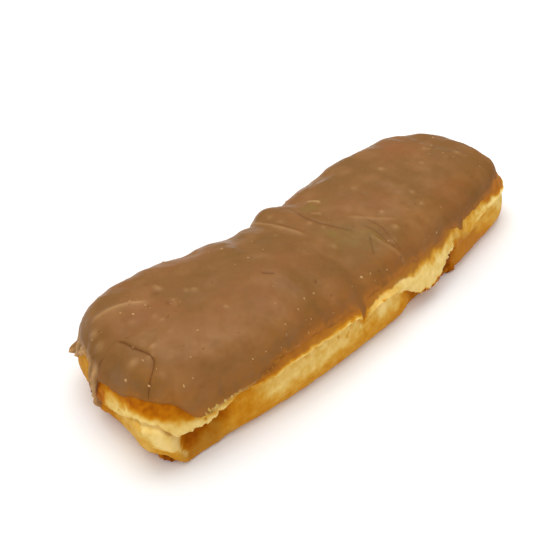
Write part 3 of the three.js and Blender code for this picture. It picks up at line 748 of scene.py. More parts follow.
# Patches of browning on the side: share, softness across in rings, softness of the two ends along the rim,
# runs of its stations, and their low levels and high levels, or one number where these are all the same
PATCHES = {
    "ear_side": (0.5, 0.6, (4, 3), (-24, -3), 4, 12.6),
    "end_skin": (0.37, 0.5, (3, 2), (-2, 10, 18), 3.4, (10, 9.8, 9.6)),
    "end_foot": (0.64, 0.5, (3, 3), (-2, 20), 3.0, (5, 4.6)),
    "end_start": (0.5, 0.5, (2, 6), (-2, 6), 3.4, 13),
    "end_lip": (0.17, 0.3, (7, 3), (4.6, 7.5, 11, 24, 30), (10.2, 9.8, 9.4, 9.6, 9.4),
        (11.1, 11.5, 11.8, 12.1, 11.7)),
    "end_gold": (0.4, 0.3, (4, 4), (2, 8, 14, 18, 22, 26, 30, 36),
        (11.8, 11.9, 11.9, 11.8, 11.85, 11.7, 11.2, 10.9), 14),
    "end_crust": (0.78, 0.3, (3, 4), (-2, 5, 10, 15, 22, 26, 30),
        (12.0, 12.1, 12.2, 12.2, 12.1, 12.0, 11.6), 14),
    "drip_foot": (0.64, 0.6, (2, 3), (-3, 1, 4, 7), 3.6, (9, 9.4, 8.6, 6.4)),
    "drip_crust": (0.8, 0.5, (2, 2), (-3, -0.6, 1.2, 3), (6, 6.4, 7.5, 10.5), 14),
    "tongue_root": (0.31, 0.6, (5, 3), (5, 11, 14, 18, 21), (8.6, 7.2, 7, 6.6, 6.4), 10),
    "tongue": (0.1, 0.22, (4, 0.5), (15, 17.8, 19, 20.5, 21.8, 22.7, 23.2, 23.7, 24.3, 25.1),
        (9, 7.5, 6.5, 5.8, 5.7, 5.6, 5.4, 5.3, 5.1, 4.9), (9.8, 9.8, 9.8, 9.7, 9.6, 8.6, 6.9, 6, 5.6, 5.2)),
    "tongue_heel": (0.5, 0.25, (2, 1), (19.5, 22, 25.6), 3.6, (5.5, 5.6, 4.9)),
    "cavity_floor": (0.5, 0.3, (1, 5), (25.6, 30, 38), (4.3, 4.0, 3.8), 6.4),
    # Dark brown in the cavity: partly browned crust, partly painted shade under the lip
    "cavity_crust_and_shade": (0.8, 0.35, (0.5, 7), (22.6, 23.2, 23.7, 24.3, 25.4, 30, 35.5),
        (8.4, 6.9, 6, 5.6, 5.3, 5.8, 6.2), (9.5, 9.5, 9.5, 9.5, 9.5, 9.6, 9.8)),
    "amber_wall": (0.56, 0.4, (5, 12), (35.5, 40, 50), 3.6, (11.6, 12.6, 12.2)),
    "front_band": (0.23, 0.6, (10, 2), (44, 50, 70, 82), (5.9, 5.6, 5.5, 5.5), (11.4, 11.6, 11.7, 11.7)),
    "front_crest": (0.2, 0.12, (6, 2), (51, 66, 82), (11.2, 10.9, 10.9), (11.6, 11.45, 11.4)),
    "front_foot": (0.5, 0.6, (10, 8), (44, 60, 72, 80, 86, 100), 3.6, (5.4, 5.3, 5.6, 6.2, 6, 5.4)),
    "front_gold": (0.5, 0.3, (6, 3), (44, 50, 64, 82, 90, 103), (10.9, 11.3, 11.5, 11.55, 12.05, 12.2), 14),
    "front_brown": (0.82, 0.35, (6, 5), (42, 50, 58, 82, 90, 103), (11.2, 11.6, 11.95, 12, 12.4, 12.6), 14),
    "notch": (0.64, 0.8, (2, 1.4), (81.4, 84.2), 7, 12.8),
    "second_band": (0.25, 0.45, (1.2, 5), (84.4, 89, 93, 104), (7.6, 8.2, 9.3, 9.4),
        (12.1, 12.1, 12.1, 12.2)),
    "second_wall": (0.1, 0.8, (4, 6), (88, 94, 103), (5.8, 6.2, 5.6), (8.4, 9.3, 9.3)),
    "second_tan": (0.26, 0.8, (8, 3), (95, 99, 106), 3.6, (7, 8.8, 8.8)),
    "second_end": (0.58, 0.6, (4, 3), (92, 98, 101, 103, 108), 3.6, (5.3, 5.8, 6.4, 8.8, 8.8)),
    "flap": (0.11, 0.25, (8, 2), (99, 108, 118, 127, 132, 137), (9.6, 9.3, 9.3, 9.6, 11, 11.8),
        (12.1, 12.15, 12.2, 12.1, 12.3, 12.6)),
    "flap_top": (0.46, 0.25, (5, 2), (103, 112, 120, 131), (12.25, 12.2, 12.25, 12.35), 14),
    "flap_brown": (0.76, 0.16, (5, 2), (103, 112, 120, 131), (12.6, 12.55, 12.6, 12.6), 14),
    "flap_rim": (0.85, 0.15, (3, 2), (108, 111, 116, 122), 9.2, (9.9, 10.35, 10.5, 10.42)),
    "under_flap": (0.66, 0.4, (6, 2), (108, 116, 127), 3.6, (9.0, 9.0, 9.2)),
    "far_wall": (0.65, 0.7, (2, 20), (130, 150, 180, 200), 4.0, (12.8, 12.4, 11.6, 9.6)),
    "flap_crevice": (0.97, 0.5, (1, 2.4), (125.5, 129, 131.5), 4.0, (9.4, 9.2, 8.4)),
    "far_foot": (0.68, 0.8, (2, 20), (131, 200), 3.4, 5.4),
    "far_gold": (0.42, 0.7, (3, 6), (136, 142, 147, 155, 162, 172, 200), (10.8, 9, 6.4, 5.8, 5, 4.6, 5),
        (12.8, 12.8, 12.4, 12, 11.5, 11.2, 11)),
    "far_crust": (0.8, 0.3, (6, 14), (156, 162, 170, 200), (12.3, 12.0, 11.6, 11.9), 14),
    "far_tan": (0.42, 0.5, (6, 6), (138, 146, 154, 162), (11.4, 11.3, 11.1, 10.7), (12.5, 12.3, 12.2, 12)),
    "flap_tip": (0.3, 0.25, (3, 2), (126, 131, 135, 138.4), (10.8, 11.5, 11.8, 12),
        (12.1, 12.4, 12.5, 12.6)),
    "far_pale": (0.22, 0.3, (6, 12), (146, 154, 160, 164, 170, 178, 200), (10.9, 10.4, 8, 6, 5.6, 5.6, 6),
        (12.1, 12, 12, 11.7, 11.5, 11.3, 11.2)),
    "far_cream": (0, 0.4, (5, 8), (157, 160.5, 166, 172, 186), (10.8, 10, 8, 7, 7),
        (11.7, 11.7, 11.5, 11.3, 11)),
    "far_crease": (0.42, 0.1, (4, 4), (147, 152, 158, 166), (11.7, 11.4, 11.1, 10.5),
        (11.8, 11.5, 11.2, 10.6)),
}

# Film of icing smeared on the dough below the icing's edge, in the same form
FILMS = {
    "front": (0.7, 0.16, (8, 3), (44, 57, 64, 72, 82), (11.4, 11.9, 11.55, 11.95, 11.95), 14),
    "second": (0.95, 0.12, (2, 2), (84, 88, 93.4, 97.7, 100, 103, 105.6, 111, 120, 123, 126, 133),
        (12, 12.08, 12.3, 12.06, 11.95, 12.06, 12.3, 12.4, 12.5, 12.4, 12.4, 12.5), 14),
    "far": (0.4, 0.5, (3, 12), (131, 140, 150), 4, (12.8, 11, 6)),
    "far_crust": (0.5, 0.3, (6, 14), (156, 200), (12, 11.9), 14),
    "ear": (0.3, 0.6, (4, 3), (-24, -3), 4, 12.6),
    "cavity_floor": (0.4, 0.5, (2, 4), (24, 32, 36), 3.6, (5.4, 5.2, 4.8)),
}

# How the browning wanders, as rise, wavelength and seed: up the plain side, in the places of the patches by
# level and by run, and in the finished tone
SIDE_WAVES = ((0.05, 14, 3),)
LEVEL_WAVES = ((0.14, 5, 5), (0.06, 1.8, 6))
RUN_WAVES = ((0.5, 4, 7), (0.2, 1.6, 8))
TONE_WAVES = ((0.035, 3.4, 4), (0.03, 1.4, 9))
STEADY_RUN = (21, 28, 3, 3)  # window along the rim where the patches wander less, and by what share
STEADINESS = 0.7

# Roughness of the bare side in the same form, on pale crumb and on fried skin
CRUMB_WAVES = ((0.12, 2.4, 31), (0.07, 1.3, 32))
SKIN_WAVES = ((0.08, 3.6, 33), (0.04, 1.5, 34))
CRUMB_BROWNING = (0.2, 0.5)  # browning between which crumb becomes skin
BARE_FROM = (3.6, 4.6)  # levels between which the roughness sets in and ends
BARE_TO = (12.2, 13.2)

# Small holes in the pale band: run, level, radius and depth
HOLES = (
    (72.1, 6.7, 0.5, 0.42), (75.1, 6.4, 0.6, 0.45), (76.2, 6.6, 0.4, 0.3), (77.4, 7.6, 0.3, 0.3),
    (9.4, 11.2, 0.3, 0.3),
)
LEVEL_SIZE = 4  # millimetres that a level counts for where the point nearest a hole is found
PORES = 260  # fine pores scattered over pale crumb
PORE_SEED = 21
PORE_LEVELS = (5, 12.3)
PORE_BROWNING = 0.3  # most browning that has pores
PORE_RADIUS = (0.25, 0.6)
PORE_DEPTH = 0.28
PORE_SHALLOWEST = 0.4  # share of that depth
PIT_DARKENING = 0.4  # how much darker the bottom of a deep pit is made
PIT_DEPTHS = (0.12, 0.6)  # depths between which a pit darkens


def laid_over(value, patches, run, levels):
    """Value covered by soft-edged patches in turn, each given between two levels along the rim."""
    for share, soft, ends, at, *sides in patches.values():
        bottom, top = (np.interp(run, at, np.broadcast_to(side, len(at))) for side in sides)
        across = plateau(levels, (bottom - soft, bottom + soft), (top - soft, top + soft))
        value = value + (share - value) * across * stretch(run, at[0], at[-1], *ends)
    return value


def dough_browning(run, levels, points):
    """Browning and film of icing: a plain side's browning under patches, with wandering edges and mottle."""
    level, share = np.array(SIDE_BROWNING).T
    bake = np.interp(levels, level, share) + ripples(points, SIDE_WAVES)
    climbed = levels + ripples(points, LEVEL_WAVES)
    walked = run + (1 - STEADINESS * stretch(run, *STEADY_RUN)) * ripples(points, RUN_WAVES)
    bake = laid_over(bake, PATCHES, walked, climbed)
    bake = np.clip(bake + ripples(points, TONE_WAVES), 0, 1)
    return bake, laid_over(np.zeros_like(bake), FILMS, walked, climbed)


def pitted(points, bake, run, levels):
    """Depth of holes and pores: bell-shaped pits at named places, and at seeded places on the pale crumb."""
    draw = np.random.default_rng(PORE_SEED)
    flat = points.reshape(-1, 3)
    low, high = PORE_LEVELS
    crumb = (levels > low) & (levels < high) & (bake < PORE_BROWNING)
    chosen = draw.choice(np.flatnonzero(crumb), PORES, replace=False)
    radii = draw.uniform(*PORE_RADIUS, PORES)
    depths = PORE_DEPTH * draw.uniform(PORE_SHALLOWEST, 1, PORES)
    pits = list(zip(flat[chosen], radii, depths))
    for hole_run, hole_level, radius, depth in HOLES:
        nearest = np.argmin(np.abs(run - hole_run) + LEVEL_SIZE * np.abs(levels - hole_level))
        pits.append((flat[nearest], radius, depth))
    return sum(bells(flat, pits)).reshape(levels.shape)


def dough_bar(rim, rings, shift, material):
    """Dough: the splined rings from the middle of the base to the middle of the crown.

    Its bare side is roughened along its normals: a coarse, stringy unevenness on pale crumb, a finer one
    on fried skin, and pits.
    """
    levels = DOUGH_GRID
    points = spline(rings, levels) + shift
    run = np.broadcast_to(rim["run"], levels.shape)
    bake, film = dough_browning(run, levels, points)
    pits = pitted(points, bake, run, levels)
    crumb = 1 - smoothstep(bake, *CRUMB_BROWNING)
    rough = crumb * torn(rim["run"]) * ripples(points, CRUMB_WAVES)
    rough += (1 - crumb) * ripples(points, SKIN_WAVES)
    bare = plateau(levels, BARE_FROM, BARE_TO)
    points = points + grid_normals(points) * (bare * (rough - pits))[..., None]
    points[..., 2] = np.maximum(points[..., 2], 0)
    bake = np.clip(bake + PIT_DARKENING * smoothstep(pits, *PIT_DEPTHS), 0, 1)
    values = {"bake": bake, "film": film}
    piece = mesh_piece("dough_bar_dressed", points, closed_grid_faces(len(points)), material, values)
    return piece, {"points": points, "normals": grid_normals(points), "run": run, "height": levels}


def beside_line(x, y, line):
    """Nearest distance to a line on the plan, side of it (1 on the right), and share walked along it."""
    line = np.array(line, float)
    lengths = np.hypot(*np.diff(line, axis=0).T)
    walked = np.concatenate([[0], np.cumsum(lengths)]) / lengths.sum()
    nearest = np.full(x.shape, np.inf)
    side = np.zeros(x.shape)
    share = np.zeros(x.shape)
    for i, length in enumerate(lengths):
        ax, ay = line[i]
        ux, uy = (line[i + 1] - line[i]) / length
        t = np.clip((x - ax) * ux + (y - ay) * uy, 0, length)
        distance = np.hypot(x - ax - t * ux, y - ay - t * uy)
        closer = distance < nearest
        nearest = np.where(closer, distance, nearest)
        side = np.where(closer, np.sign((x - ax) * uy - (y - ay) * ux), side)
        share = np.where(closer, walked[i] + (walked[i + 1] - walked[i]) * t / length, share)
    return nearest, side, share


def patched(points, patches):
    """Strength of soft patches: a bell curve across each line of the plan, broken up by uneven fields."""
    strength = np.zeros(points.shape[:-1])
    for width, share, line in patches.values():
        distance = beside_line(points[..., 0], points[..., 1], line)[0]
        strength = np.maximum(strength, share * bump(distance, width))
    return np.clip(strength * (PATCH_EVENNESS + ripples(points, PATCH_WAVES)), 0, 1)


def lined(points):
    """Height of the lines on the icing, and their tints: painted highlight streaks, painted shade round dark
    creases, and dark hairlines of painted shade.

    A line has a bell-shaped section, and may have a step up on its right that settles with distance. The
    hairline at a point is the nearest dark line's, given by the distance across it and by its fade.
    """
    x, y = points[..., 0], points[..., 1]
    height, painted_highlight, painted_shade, line_side, line_fade = np.zeros((5, *x.shape))
    nearest = np.full(x.shape, np.inf)
    for width, rise, step, darkness, line in LINES.values():
        distance, side, share = beside_line(x, y, line)
        fade = plateau(share, (0, LINE_FADE), (1 - LINE_FADE, 1))
        height += rise * fade * bump(distance, width)
        height += step * fade * (side > 0) * np.exp(-distance / STEP_REACH) * smoothstep(distance, 0, width)
        tinted = np.where(side > 0, HIGHLIGHT_RIGHT, HIGHLIGHT_LEFT) * width
        # Painted highlight streak beside a pale line
        painted_highlight = np.maximum(painted_highlight, -darkness * fade * bump(distance, tinted))
        # Painted shade round a dark line
        painted_shade = np.maximum(painted_shade, CREASE_SHADE_SHARE * darkness * fade * bump(distance, width))
        seen_from = distance + FAINT * (1 - darkness)
        closer = seen_from < nearest
        nearest = np.where(closer, seen_from, nearest)
        across = np.clip(side * distance / HAIRLINE, -HAIRLINE_LIMIT, HAIRLINE_LIMIT)
        line_side = np.where(closer, across, line_side)
        line_fade = np.where(closer, 1 - darkness * fade, line_fade)
    line_fade = np.where(nearest < FAINT, line_fade, NO_LINE)
    return height, {"speck_and_highlight": painted_highlight, "painted_shade": painted_shade, "line_side": line_side, "line_fade": line_fade}


def icing_relief(points, whole):
    """Height of the icing's relief, and its tints: pale specks partly of painted highlight, painted shade in
    creases, dimples and hairlines, patches of painted sheen, and olive patches.

    The relief is soft waves, the lines, a flattened bubble, and seeded bell-shaped swellings and dimples
    where the icing is at its whole depth.
    """
    x, y = points[..., 0], points[..., 1]
    lines, tints = lined(points)
    bubble_x, bubble_y, reach, rise = BUBBLE
    bubble = rise * smoothstep(bump(np.hypot(x - bubble_x, y - bubble_y), reach), *BUBBLE_EDGE)
    draw = np.random.default_rng(SWELLING_SEED)
    flat = points.reshape(-1, 3)
    count = SWELLINGS + DIMPLES
    chosen = draw.choice(np.flatnonzero(whole), count, replace=False)
    radii = draw.uniform(*SWELLING_RADIUS, count)
    heights = draw.uniform(*SWELLING_HEIGHT, count)
    raised, speck_and_highlight, painted_shade = np.zeros((3, len(flat)))
    for swelling in bells(flat, zip(flat[chosen[:SWELLINGS]], radii, heights)):
        raised += swelling
        # Pale speck on a swelling, partly painted highlight
        speck_and_highlight = np.maximum(speck_and_highlight, SWELLING_PALENESS * swelling)
    for dimple in bells(flat, zip(flat[chosen[SWELLINGS:]], radii, heights)):
        raised -= dimple
        # Painted shade in a dimple
        painted_shade = np.maximum(painted_shade, DIMPLE_SHADE * dimple)
    for name, tint in {"speck_and_highlight": speck_and_highlight, "painted_shade": painted_shade}.items():
        tints[name] = np.clip(np.maximum(tints[name], tint.reshape(x.shape)), 0, DEEPEST_TINT)
    # Pale patches of painted sheen
    tints["painted_sheen"] = patched(points, SHEEN_PATCHES)
    tints["olive"] = patched(points, OLIVE_PATCHES)
    return ripples(points, WAVES) + lines + bubble + raised.reshape(x.shape), tints


def climbed_up(points):
    """Distance walked up each column to each row of a grid, and the step on from each row."""
    step = np.linalg.norm(np.diff(points, axis=0), axis=-1)
    return np.concatenate([np.zeros((1, COLUMNS)), np.cumsum(step, axis=0)]), step


def unevenness(edge, dough):
    """How far the icing's edge lies up the dough's side past the mean of the columns round it."""
    walked, step = climbed_up(dough)
    row = np.interp(edge, DOUGH_LEVELS, np.arange(len(DOUGH_LEVELS)))
    low = np.floor(row).astype(int)
    start = walked[low, COLUMN] + (row - low) * step[low, COLUMN]
    around = range(-TAPER_BLUR, TAPER_BLUR + 1)
    return start - sum(np.roll(start, i) for i in around) / len(around)


def icing_thickness(run, levels, under, climb, full, curtain, folds):
    """How far the icing stands off the dough, and the part of that in beads.

    At the edge it climbs a low ledge along a quarter of an ellipse, and from there it rises slowly to its
    full thickness. The curtain is thinner and folded, and the ear, drip and beads are bell curves.
    """
    rounding = 1 - np.minimum(climb / LEDGE_ROUNDING, 1)
    ledge = ICING_LEDGE * (1 - LEDGE_WEAR * stretch(run, *WORN_EDGE))
    thick = ICING_THICKNESS * (ledge * np.sqrt(1 - rounding ** 2) + (1 - ledge) * full)
    thick = thick * (1 - CURTAIN_THINNESS * curtain)
    thick += CURTAIN_FOLDS * curtain * folds * smoothstep(climb, 0, EDGE_EASE)
    ragged = ripples(under, HANGING_WAVES)
    for window, level, reach, rise, raggedness in HANGING_ICING.values():
        rise = rise * smoothstep(climb, 0, HANGING_EASE) * (1 + raggedness * ragged)
        thick += rise * stretch(run, *window) * bump(levels - level, reach)
    bead = np.zeros(climb.shape)
    for window, distance, reach, rise in BEADS:
        bead += rise * stretch(run, *window) * bump(climb - distance, reach)
    return thick + bead, bead


def edge_band(name, run, climb):
    """Strength of a band along the icing's edge: a window along the rim that fades away from the edge."""
    strength, window, fade = EDGE_BANDS[name]
    return strength * stretch(run, *window) * (1 - smoothstep(climb, *fade))


def edge_tints(run, under, climb, curtain, folds, bead):
    """Tints near the icing's edge: a pale curtain with painted highlights on its folds and beads, painted
    shade in its hollows, thin icing lightened along the front as painted light, and where it is dull.
    """
    thick = np.maximum(curtain, stretch(run, *CRISP_EDGE))
    thin_and_front_light = EDGE_THINNESS * (1 - CRISPNESS * thick) * (1 - smoothstep(climb, *EDGE_FADE))
    # Painted light: the front's thin icing is spread wider to lighten the front slope
    thin_and_front_light += edge_band("thin_and_lit_front", run, climb)
    thin_and_front_light *= np.clip(THIN_EVENNESS + ripples(under, THIN_WAVES), *THIN_LIMITS)
    # Pale curtain, with painted highlights on its folds and beads
    hung = CURTAIN_PALENESS * curtain * (FOLD_EVENNESS + FOLD_HIGHLIGHT * folds) + BEAD_HIGHLIGHT * bead
    # Painted shade in the curtain's hollows
    hollow_shade = FOLD_SHADE_SHARE * curtain * smoothstep(-folds, *FOLD_DEPTHS)
    return {
        "speck_and_highlight": np.maximum(np.clip(hung, 0, MOST_HUNG), edge_band("bright_rim", run, climb)),
        "painted_shade": np.maximum(hollow_shade, edge_band("dark_rim", run, climb)),
        "thin_and_front_light": thin_and_front_light,
        "dull": np.clip(np.maximum(THIN_DULLNESS * thin_and_front_light, edge_band("dry_side", run, climb)), 0, 1),
    }


def icing_skin(rim, rings, shift, material):
    """Icing: its underside sunk in the dough, and its outer face standing off it along the dough's normals.

    The rows of the outer face follow the icing's edge and even out towards the crown.
    """
    run = rim["run"]
    edge = icing_edge(run)
    share = np.linspace(0, 1, OUTER_ROWS)[:, None] ** OUTER_CLOSENESS
    usual = ICING_LEVEL + (TOP_LEVEL - ICING_LEVEL) * share
    levels = usual + (edge - ICING_LEVEL) * (1 - share) ** EVENING
    under = spline(rings, levels)
    dough = spline(rings, DOUGH_GRID)
    base = dough[DOUGH_LEVELS < BASE_TOP]
    normals = grid_normals(np.concatenate([base, under]))[len(base):]
    climb, _ = climbed_up(under)
    even_climb = climb + unevenness(edge, dough)
    full = smoothstep(even_climb, 0, ICING_TAPER) * smoothstep(climb, 0, EDGE_EASE)
    curtain = stretch(run, *CURTAIN) * (1 - smoothstep(levels, *CURTAIN_TOP))
    folds = along_rim(run, FOLDS_ALONG) + ripples(under, FOLDS_OVER)
    thick, bead = icing_thickness(run, levels, under, climb, full, curtain, folds)
    relief, tints = icing_relief(under, climb > ICING_TAPER)
    for name, tint in edge_tints(run, under, climb, curtain, folds, bead).items():
        tints[name] = np.maximum(tints.get(name, 0), tint)
    outer = under + normals * (thick - ICING_SETTLING + relief * full)[..., None]
    inner_rows = np.linspace(OUTER_ROWS - 1, LOWEST_UNDER_ROW, UNDER_ROWS).round().astype(int)
    inner = (under - normals * ICING_SINK)[inner_rows]
    points = np.concatenate([inner, outer]) + shift
    hidden = np.zeros((UNDER_ROWS, COLUMNS))
    values = {name: np.concatenate([hidden, tint]) for name, tint in tints.items()}
    piece = mesh_piece("maple_icing_dressed", points, closed_grid_faces(len(points)), material, values)
    normals = grid_normals(points)[UNDER_ROWS:]
    run = np.broadcast_to(run, climb.shape)
    return piece, {"points": points[UNDER_ROWS:], "normals": normals, "run": run, "height": climb}


# Lumps on the surface: balls squeezed flat, with this many rings of this many corners
LUMP_RINGS = 3
LUMP_CORNERS = 8
LUMP_SLIMNESS = (0.5, 0.9)  # second radius as a share of the first
LUMP_FOOT = 0.02  # least height of a lump's points above the base

# Groups of lumps: number, smallest and largest radius, thickness as a share of the radius, seeds of places
# and of radii, and windows of two runs and two heights. A height is a distance from the edge on the icing,
# and a level on the dough.
ANYWHERE = math.inf
PIMPLES = (
    (170, 0.2, 0.65, 0.5, 71, 73, ((-ANYWHERE, ANYWHERE, 2.5, ANYWHERE),)),
    # Pimples along the front, made pale as painted glints
    (20, 0.12, 0.45, 0.6, 92, 95, ((44, 74, 0.6, 9),)),
)
FLAKES = (
    (24, 0.4, 1.0, 0.26, 75, 77, ((29.6, 32.8, 0, 1), (49.6, 52.8, 0, 1))),
    (70, 0.15, 0.6, 0.3, 80, 91, ((29, 54, 0, 0.6),)),
)
CRUMBS = (
    (110, 0.16, 0.5, 0.6, 82, 83, ((23, 35, 9.6, 10.6), (100, 131, 9.8, 10.4), (122, 132, 10, 11.8))),
)
CRUSTS = (
    (5, 1.3, 2.3, 0.7, 85, 87, ((19.5, 22.5, 4.0, 4.4),)),
    (16, 0.4, 1.3, 0.6, 86, 88, ((126.5, 131.5, 4.2, 8.4),)),
    (9, 1.0, 2.2, 0.8, 96, 97, ((127.5, 132.5, 4.0, 4.8),)),
)

# Pieces of lumps: share of its thickness by which a lump is let into the surface, unevenness, and seed
LUMP_PIECES = {
    "icing_pimples": (0.35, 0.2, 74),
    "edge_flakes": (0.3, 0.5, 78),
    "lip_crumbs": (0.4, 0.3, 84),
    "crust_bits": (0.1, 0.35, 90),
}
PIMPLE_PALENESS = 0.9  # of the palest one
PIMPLE_SEED = 72
FRONT_GLINT = 0.7  # of the pimples along the front
LUMP_BROWNING = {"edge_flakes": (0.12, 0.36, 76), "lip_crumbs": (0, 0.22, 81), "crust_bits": (0.76, 0.95, 89)}
FLAKE_BROWNING = 0.5  # browning that flakes gain along the rim, and between which runs
FLAKE_RUNS = (36, 46)
FLAKE_FILM = (0.4, 0.9)  # film of icing on a flake, and its gain with that browning


def lump_faces():
    """Triangles of a ball: two poles and rings of corners between them, turned outwards."""
    around = np.arange(LUMP_CORNERS)
    after = (around + 1) % LUMP_CORNERS
    last = 1 + LUMP_RINGS * LUMP_CORNERS
    parts = [np.stack([np.zeros_like(around), 1 + around, 1 + after], -1)]
    for ring in range(LUMP_RINGS - 1):
        upper, lower = 1 + ring * LUMP_CORNERS, 1 + (ring + 1) * LUMP_CORNERS
        parts.append(np.stack([upper + around, lower + around, lower + after], -1))
        parts.append(np.stack([upper + around, lower + after, upper + after], -1))
    bottom = 1 + (LUMP_RINGS - 1) * LUMP_CORNERS
    parts.append(np.stack([np.full_like(around, last), bottom + after, bottom + around], -1))
    return np.concatenate(parts)


def lumps(name, surface, chosen, sizes, material, values):
    """Piece of lumps on a surface.

    A lump is an uneven ball let into the surface, with its radii along a seeded heading, across that and
    along the normal.
    """
    sink, uneven, seed = LUMP_PIECES[name]
    draw = np.random.default_rng(seed)
    count = len(chosen)
    centre = surface["points"].reshape(-1, 3)[chosen]
    up = surface["normals"].reshape(-1, 3)[chosen]
    heading = unit(np.cross(up, draw.normal(size=(count, 3))))
    axes = np.stack([heading, np.cross(up, heading), up], 1) * sizes[..., None]
    polar = np.pi * np.arange(1, LUMP_RINGS + 1) / (LUMP_RINGS + 1)
    turn = 2 * np.pi * np.arange(LUMP_CORNERS) / LUMP_CORNERS
    ring = np.stack([
        np.outer(np.sin(polar), np.cos(turn)), np.outer(np.sin(polar), np.sin(turn)),
        np.repeat(np.cos(polar)[:, None], LUMP_CORNERS, 1)], -1).reshape(-1, 3)
    ball = np.concatenate([[[0, 0, 1]], ring, [[0, 0, -1]]])
    radius = 1 + uneven * draw.uniform(-1, 1, (count, len(ball)))
    points = centre[:, None] + np.einsum("nk,kc,ncd->nkd", radius, ball, axes)
    points -= (sink * sizes[:, 2, None] * up)[:, None]
    points[..., 2] = np.maximum(points[..., 2], LUMP_FOOT)
    faces = (np.arange(count)[:, None, None] * len(ball) + lump_faces()).reshape(-1, 3)
    spread_values = {key: np.repeat(value, len(ball)) for key, value in values.items()}
    return mesh_piece(name, points, faces, material, spread_values)


def scatter(surface, groups):
    """Places and radii of lumps.

    Places are seeded grid points in each group's windows. Radii are seeded, with more small than large.
    """
    run, height = surface["run"], surface["height"]
    chosen, sizes = [], []
    for count, low, high, thickness, place_seed, size_seed, windows in groups:
        allowed = np.zeros(run.shape, bool)
        for start, end, bottom, top in windows:
            allowed |= (run > start) & (run < end) & (height >= bottom) & (height < top)
        draw = np.random.default_rng(place_seed)
        chosen.append(draw.choice(np.flatnonzero(allowed), count, replace=False))
        draw = np.random.default_rng(size_seed)
        large = low + (high - low) * draw.uniform(0, 1, count) ** 2
        sizes.append(np.stack([large, large * draw.uniform(*LUMP_SLIMNESS, count), large * thickness], 1))
    return np.concatenate(chosen), np.concatenate(sizes)


def pimple_tints(count):
    """Tints of the pimples: a seeded paleness, partly painted highlight, more of them faint than pale, and
    a steady paleness along the front that paints glints.
    """
    speck_and_highlight = PIMPLE_PALENESS * np.random.default_rng(PIMPLE_SEED).uniform(0, 1, count) ** 2
    all_over = PIMPLES[0][0]
    speck_and_highlight[all_over:] = FRONT_GLINT
    return {"speck_and_highlight": speck_and_highlight, "line_fade": np.full(count, NO_LINE)}


def lump_browning(name, count):
    """Seeded browning of a piece's lumps."""
    low, high, seed = LUMP_BROWNING[name]
    return np.random.default_rng(seed).uniform(low, high, count)


def dressing(dough, icing, dough_skin, icing_coat):
    """Scattered lumps: pimples on the icing, flakes along its edge, crumbs on torn lips, bits of crust."""
    chosen, sizes = scatter(icing, PIMPLES)
    tints = pimple_tints(len(chosen))
    pieces = {"icing_pimples": lumps("icing_pimples", icing, chosen, sizes, icing_coat, tints)}
    chosen, sizes = scatter(icing, FLAKES)
    browner = FLAKE_BROWNING * smoothstep(icing["run"].reshape(-1)[chosen], *FLAKE_RUNS)
    film, film_gain = FLAKE_FILM
    values = {"bake": browner + lump_browning("edge_flakes", len(chosen)), "film": film + film_gain * browner}
    pieces["edge_flakes"] = lumps("edge_flakes", icing, chosen, sizes, dough_skin, values)
    for name, groups in {"lip_crumbs": CRUMBS, "crust_bits": CRUSTS}.items():
        chosen, sizes = scatter(dough, groups)
        values = {"bake": lump_browning(name, len(chosen))}
        pieces[name] = lumps(name, dough, chosen, sizes, dough_skin, values)
    return pieces


def camera(shift):
    """Camera at the photograph's viewing angle."""
    azimuth, elevation = math.radians(AZIMUTH), math.radians(ELEVATION)
    away = Vector((
        math.sin(azimuth) * math.cos(elevation),
        -math.cos(azimuth) * math.cos(elevation),
        math.sin(elevation),
    ))
    data = bpy.data.cameras.new("camera")
    data.sensor_width = SENSOR_WIDTH
    data.lens = FOCAL_LENGTH / IMAGE_SIDE * SENSOR_WIDTH
    data.clip_start = CLIP_START
    view = placed("camera", data)
    view.location = (Vector(TARGET) + Vector(shift) + DISTANCE * away) * METRES
    view.rotation_euler = (-away).to_track_quat("-Z", "Y").to_euler()
    bpy.context.scene.camera = view


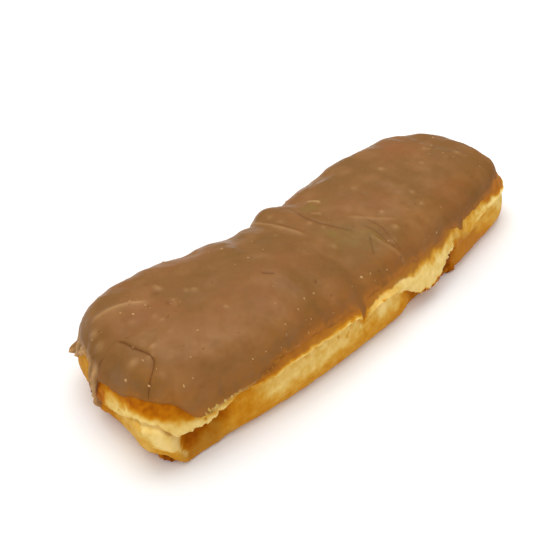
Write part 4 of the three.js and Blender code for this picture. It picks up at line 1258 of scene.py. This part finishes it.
# Studio, in metres: the floor, the dome by axis of direction, span along it and strength over that span,
# and the lamp
FLOOR_CORNERS = ((-3, -3, 0), (3, -3, 0), (3, 3, 0), (-3, 3, 0))
FLOOR_FINISH = {"Base Color": (0.965, 0.965, 0.965, 1), "Roughness": 0.9, "Specular IOR Level": 0.1}
DOME = {
    "overhead": ("Z", 0, 0.8, 0.46, 0.96),
    "darker_side": ("X", -0.3, 0.95, 0.08, -0.36),
    "near_side": ("X", -0.95, -0.2, -0.16, 0),
    "front_side": ("Y", -0.9, -0.1, 0.15, 0),
}
DOME_TINT = (1, 0.988, 0.965, 1)
LAMP_PLACE = (0.09, 0.17, 0.57)
LAMP_SIZE = (0.6, 0.5)
LAMP_POWER = 2.2  # watts
LAMP_TINT = (0.97, 0.985, 1)


def studio():
    """White floor, a dome that is brighter overhead, and a wide soft light."""
    scene = bpy.context.scene
    scene.view_settings.view_transform = "Standard"
    material, _, shader = node_material("floor_white")
    finish(shader, FLOOR_FINISH)
    mesh = bpy.data.meshes.new("floor")
    mesh.from_pydata(FLOOR_CORNERS, [], [(0, 1, 2, 3)])
    mesh.materials.append(material)
    placed("floor", mesh)
    scene.world = bpy.data.worlds.new("white_room")
    scene.world.use_nodes = True
    tree = scene.world.node_tree
    backdrop = tree.nodes["Background"]
    direction = tree.nodes.new("ShaderNodeSeparateXYZ")
    tree.links.new(tree.nodes.new("ShaderNodeTexCoord").outputs["Generated"], direction.inputs["Vector"])
    strength, *sides = [spread(tree, direction.outputs[axis], *span) for axis, *span in DOME.values()]
    for side in sides:
        strength = maths(tree, "ADD", strength, side)
    tree.links.new(strength, backdrop.inputs["Strength"])
    backdrop.inputs["Color"].default_value = DOME_TINT
    lamp = bpy.data.lights.new("overhead", "AREA")
    lamp.shape = "RECTANGLE"
    lamp.size, lamp.size_y = LAMP_SIZE
    lamp.energy = LAMP_POWER
    lamp.color = LAMP_TINT
    light = placed("overhead", lamp)
    light.location = LAMP_PLACE
    light.rotation_euler = (-light.location).to_track_quat("-Z", "Y").to_euler()


rim = rim_stations()
rings = ring_grid(rim, torn(rim["run"]))
even_rings = ring_grid(rim, 0)
solid_box = np.array(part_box("dough_bar")) / METRES
shift = plan_middle(solid_box) - plan_middle(spline(even_rings, DOUGH_GRID))
camera(shift)
studio()
dough_skin, icing_coat = dough_material(), icing_material()
dough, dough_surface = dough_bar(rim, rings, shift, dough_skin)
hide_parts("dough_bar")
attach(dough, "root")
icing, icing_surface = icing_skin(rim, even_rings, shift, icing_coat)
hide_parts("maple_icing")
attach(icing, "root")
for name, piece in dressing(dough_surface, icing_surface, dough_skin, icing_coat).items():
    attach(piece, "root")
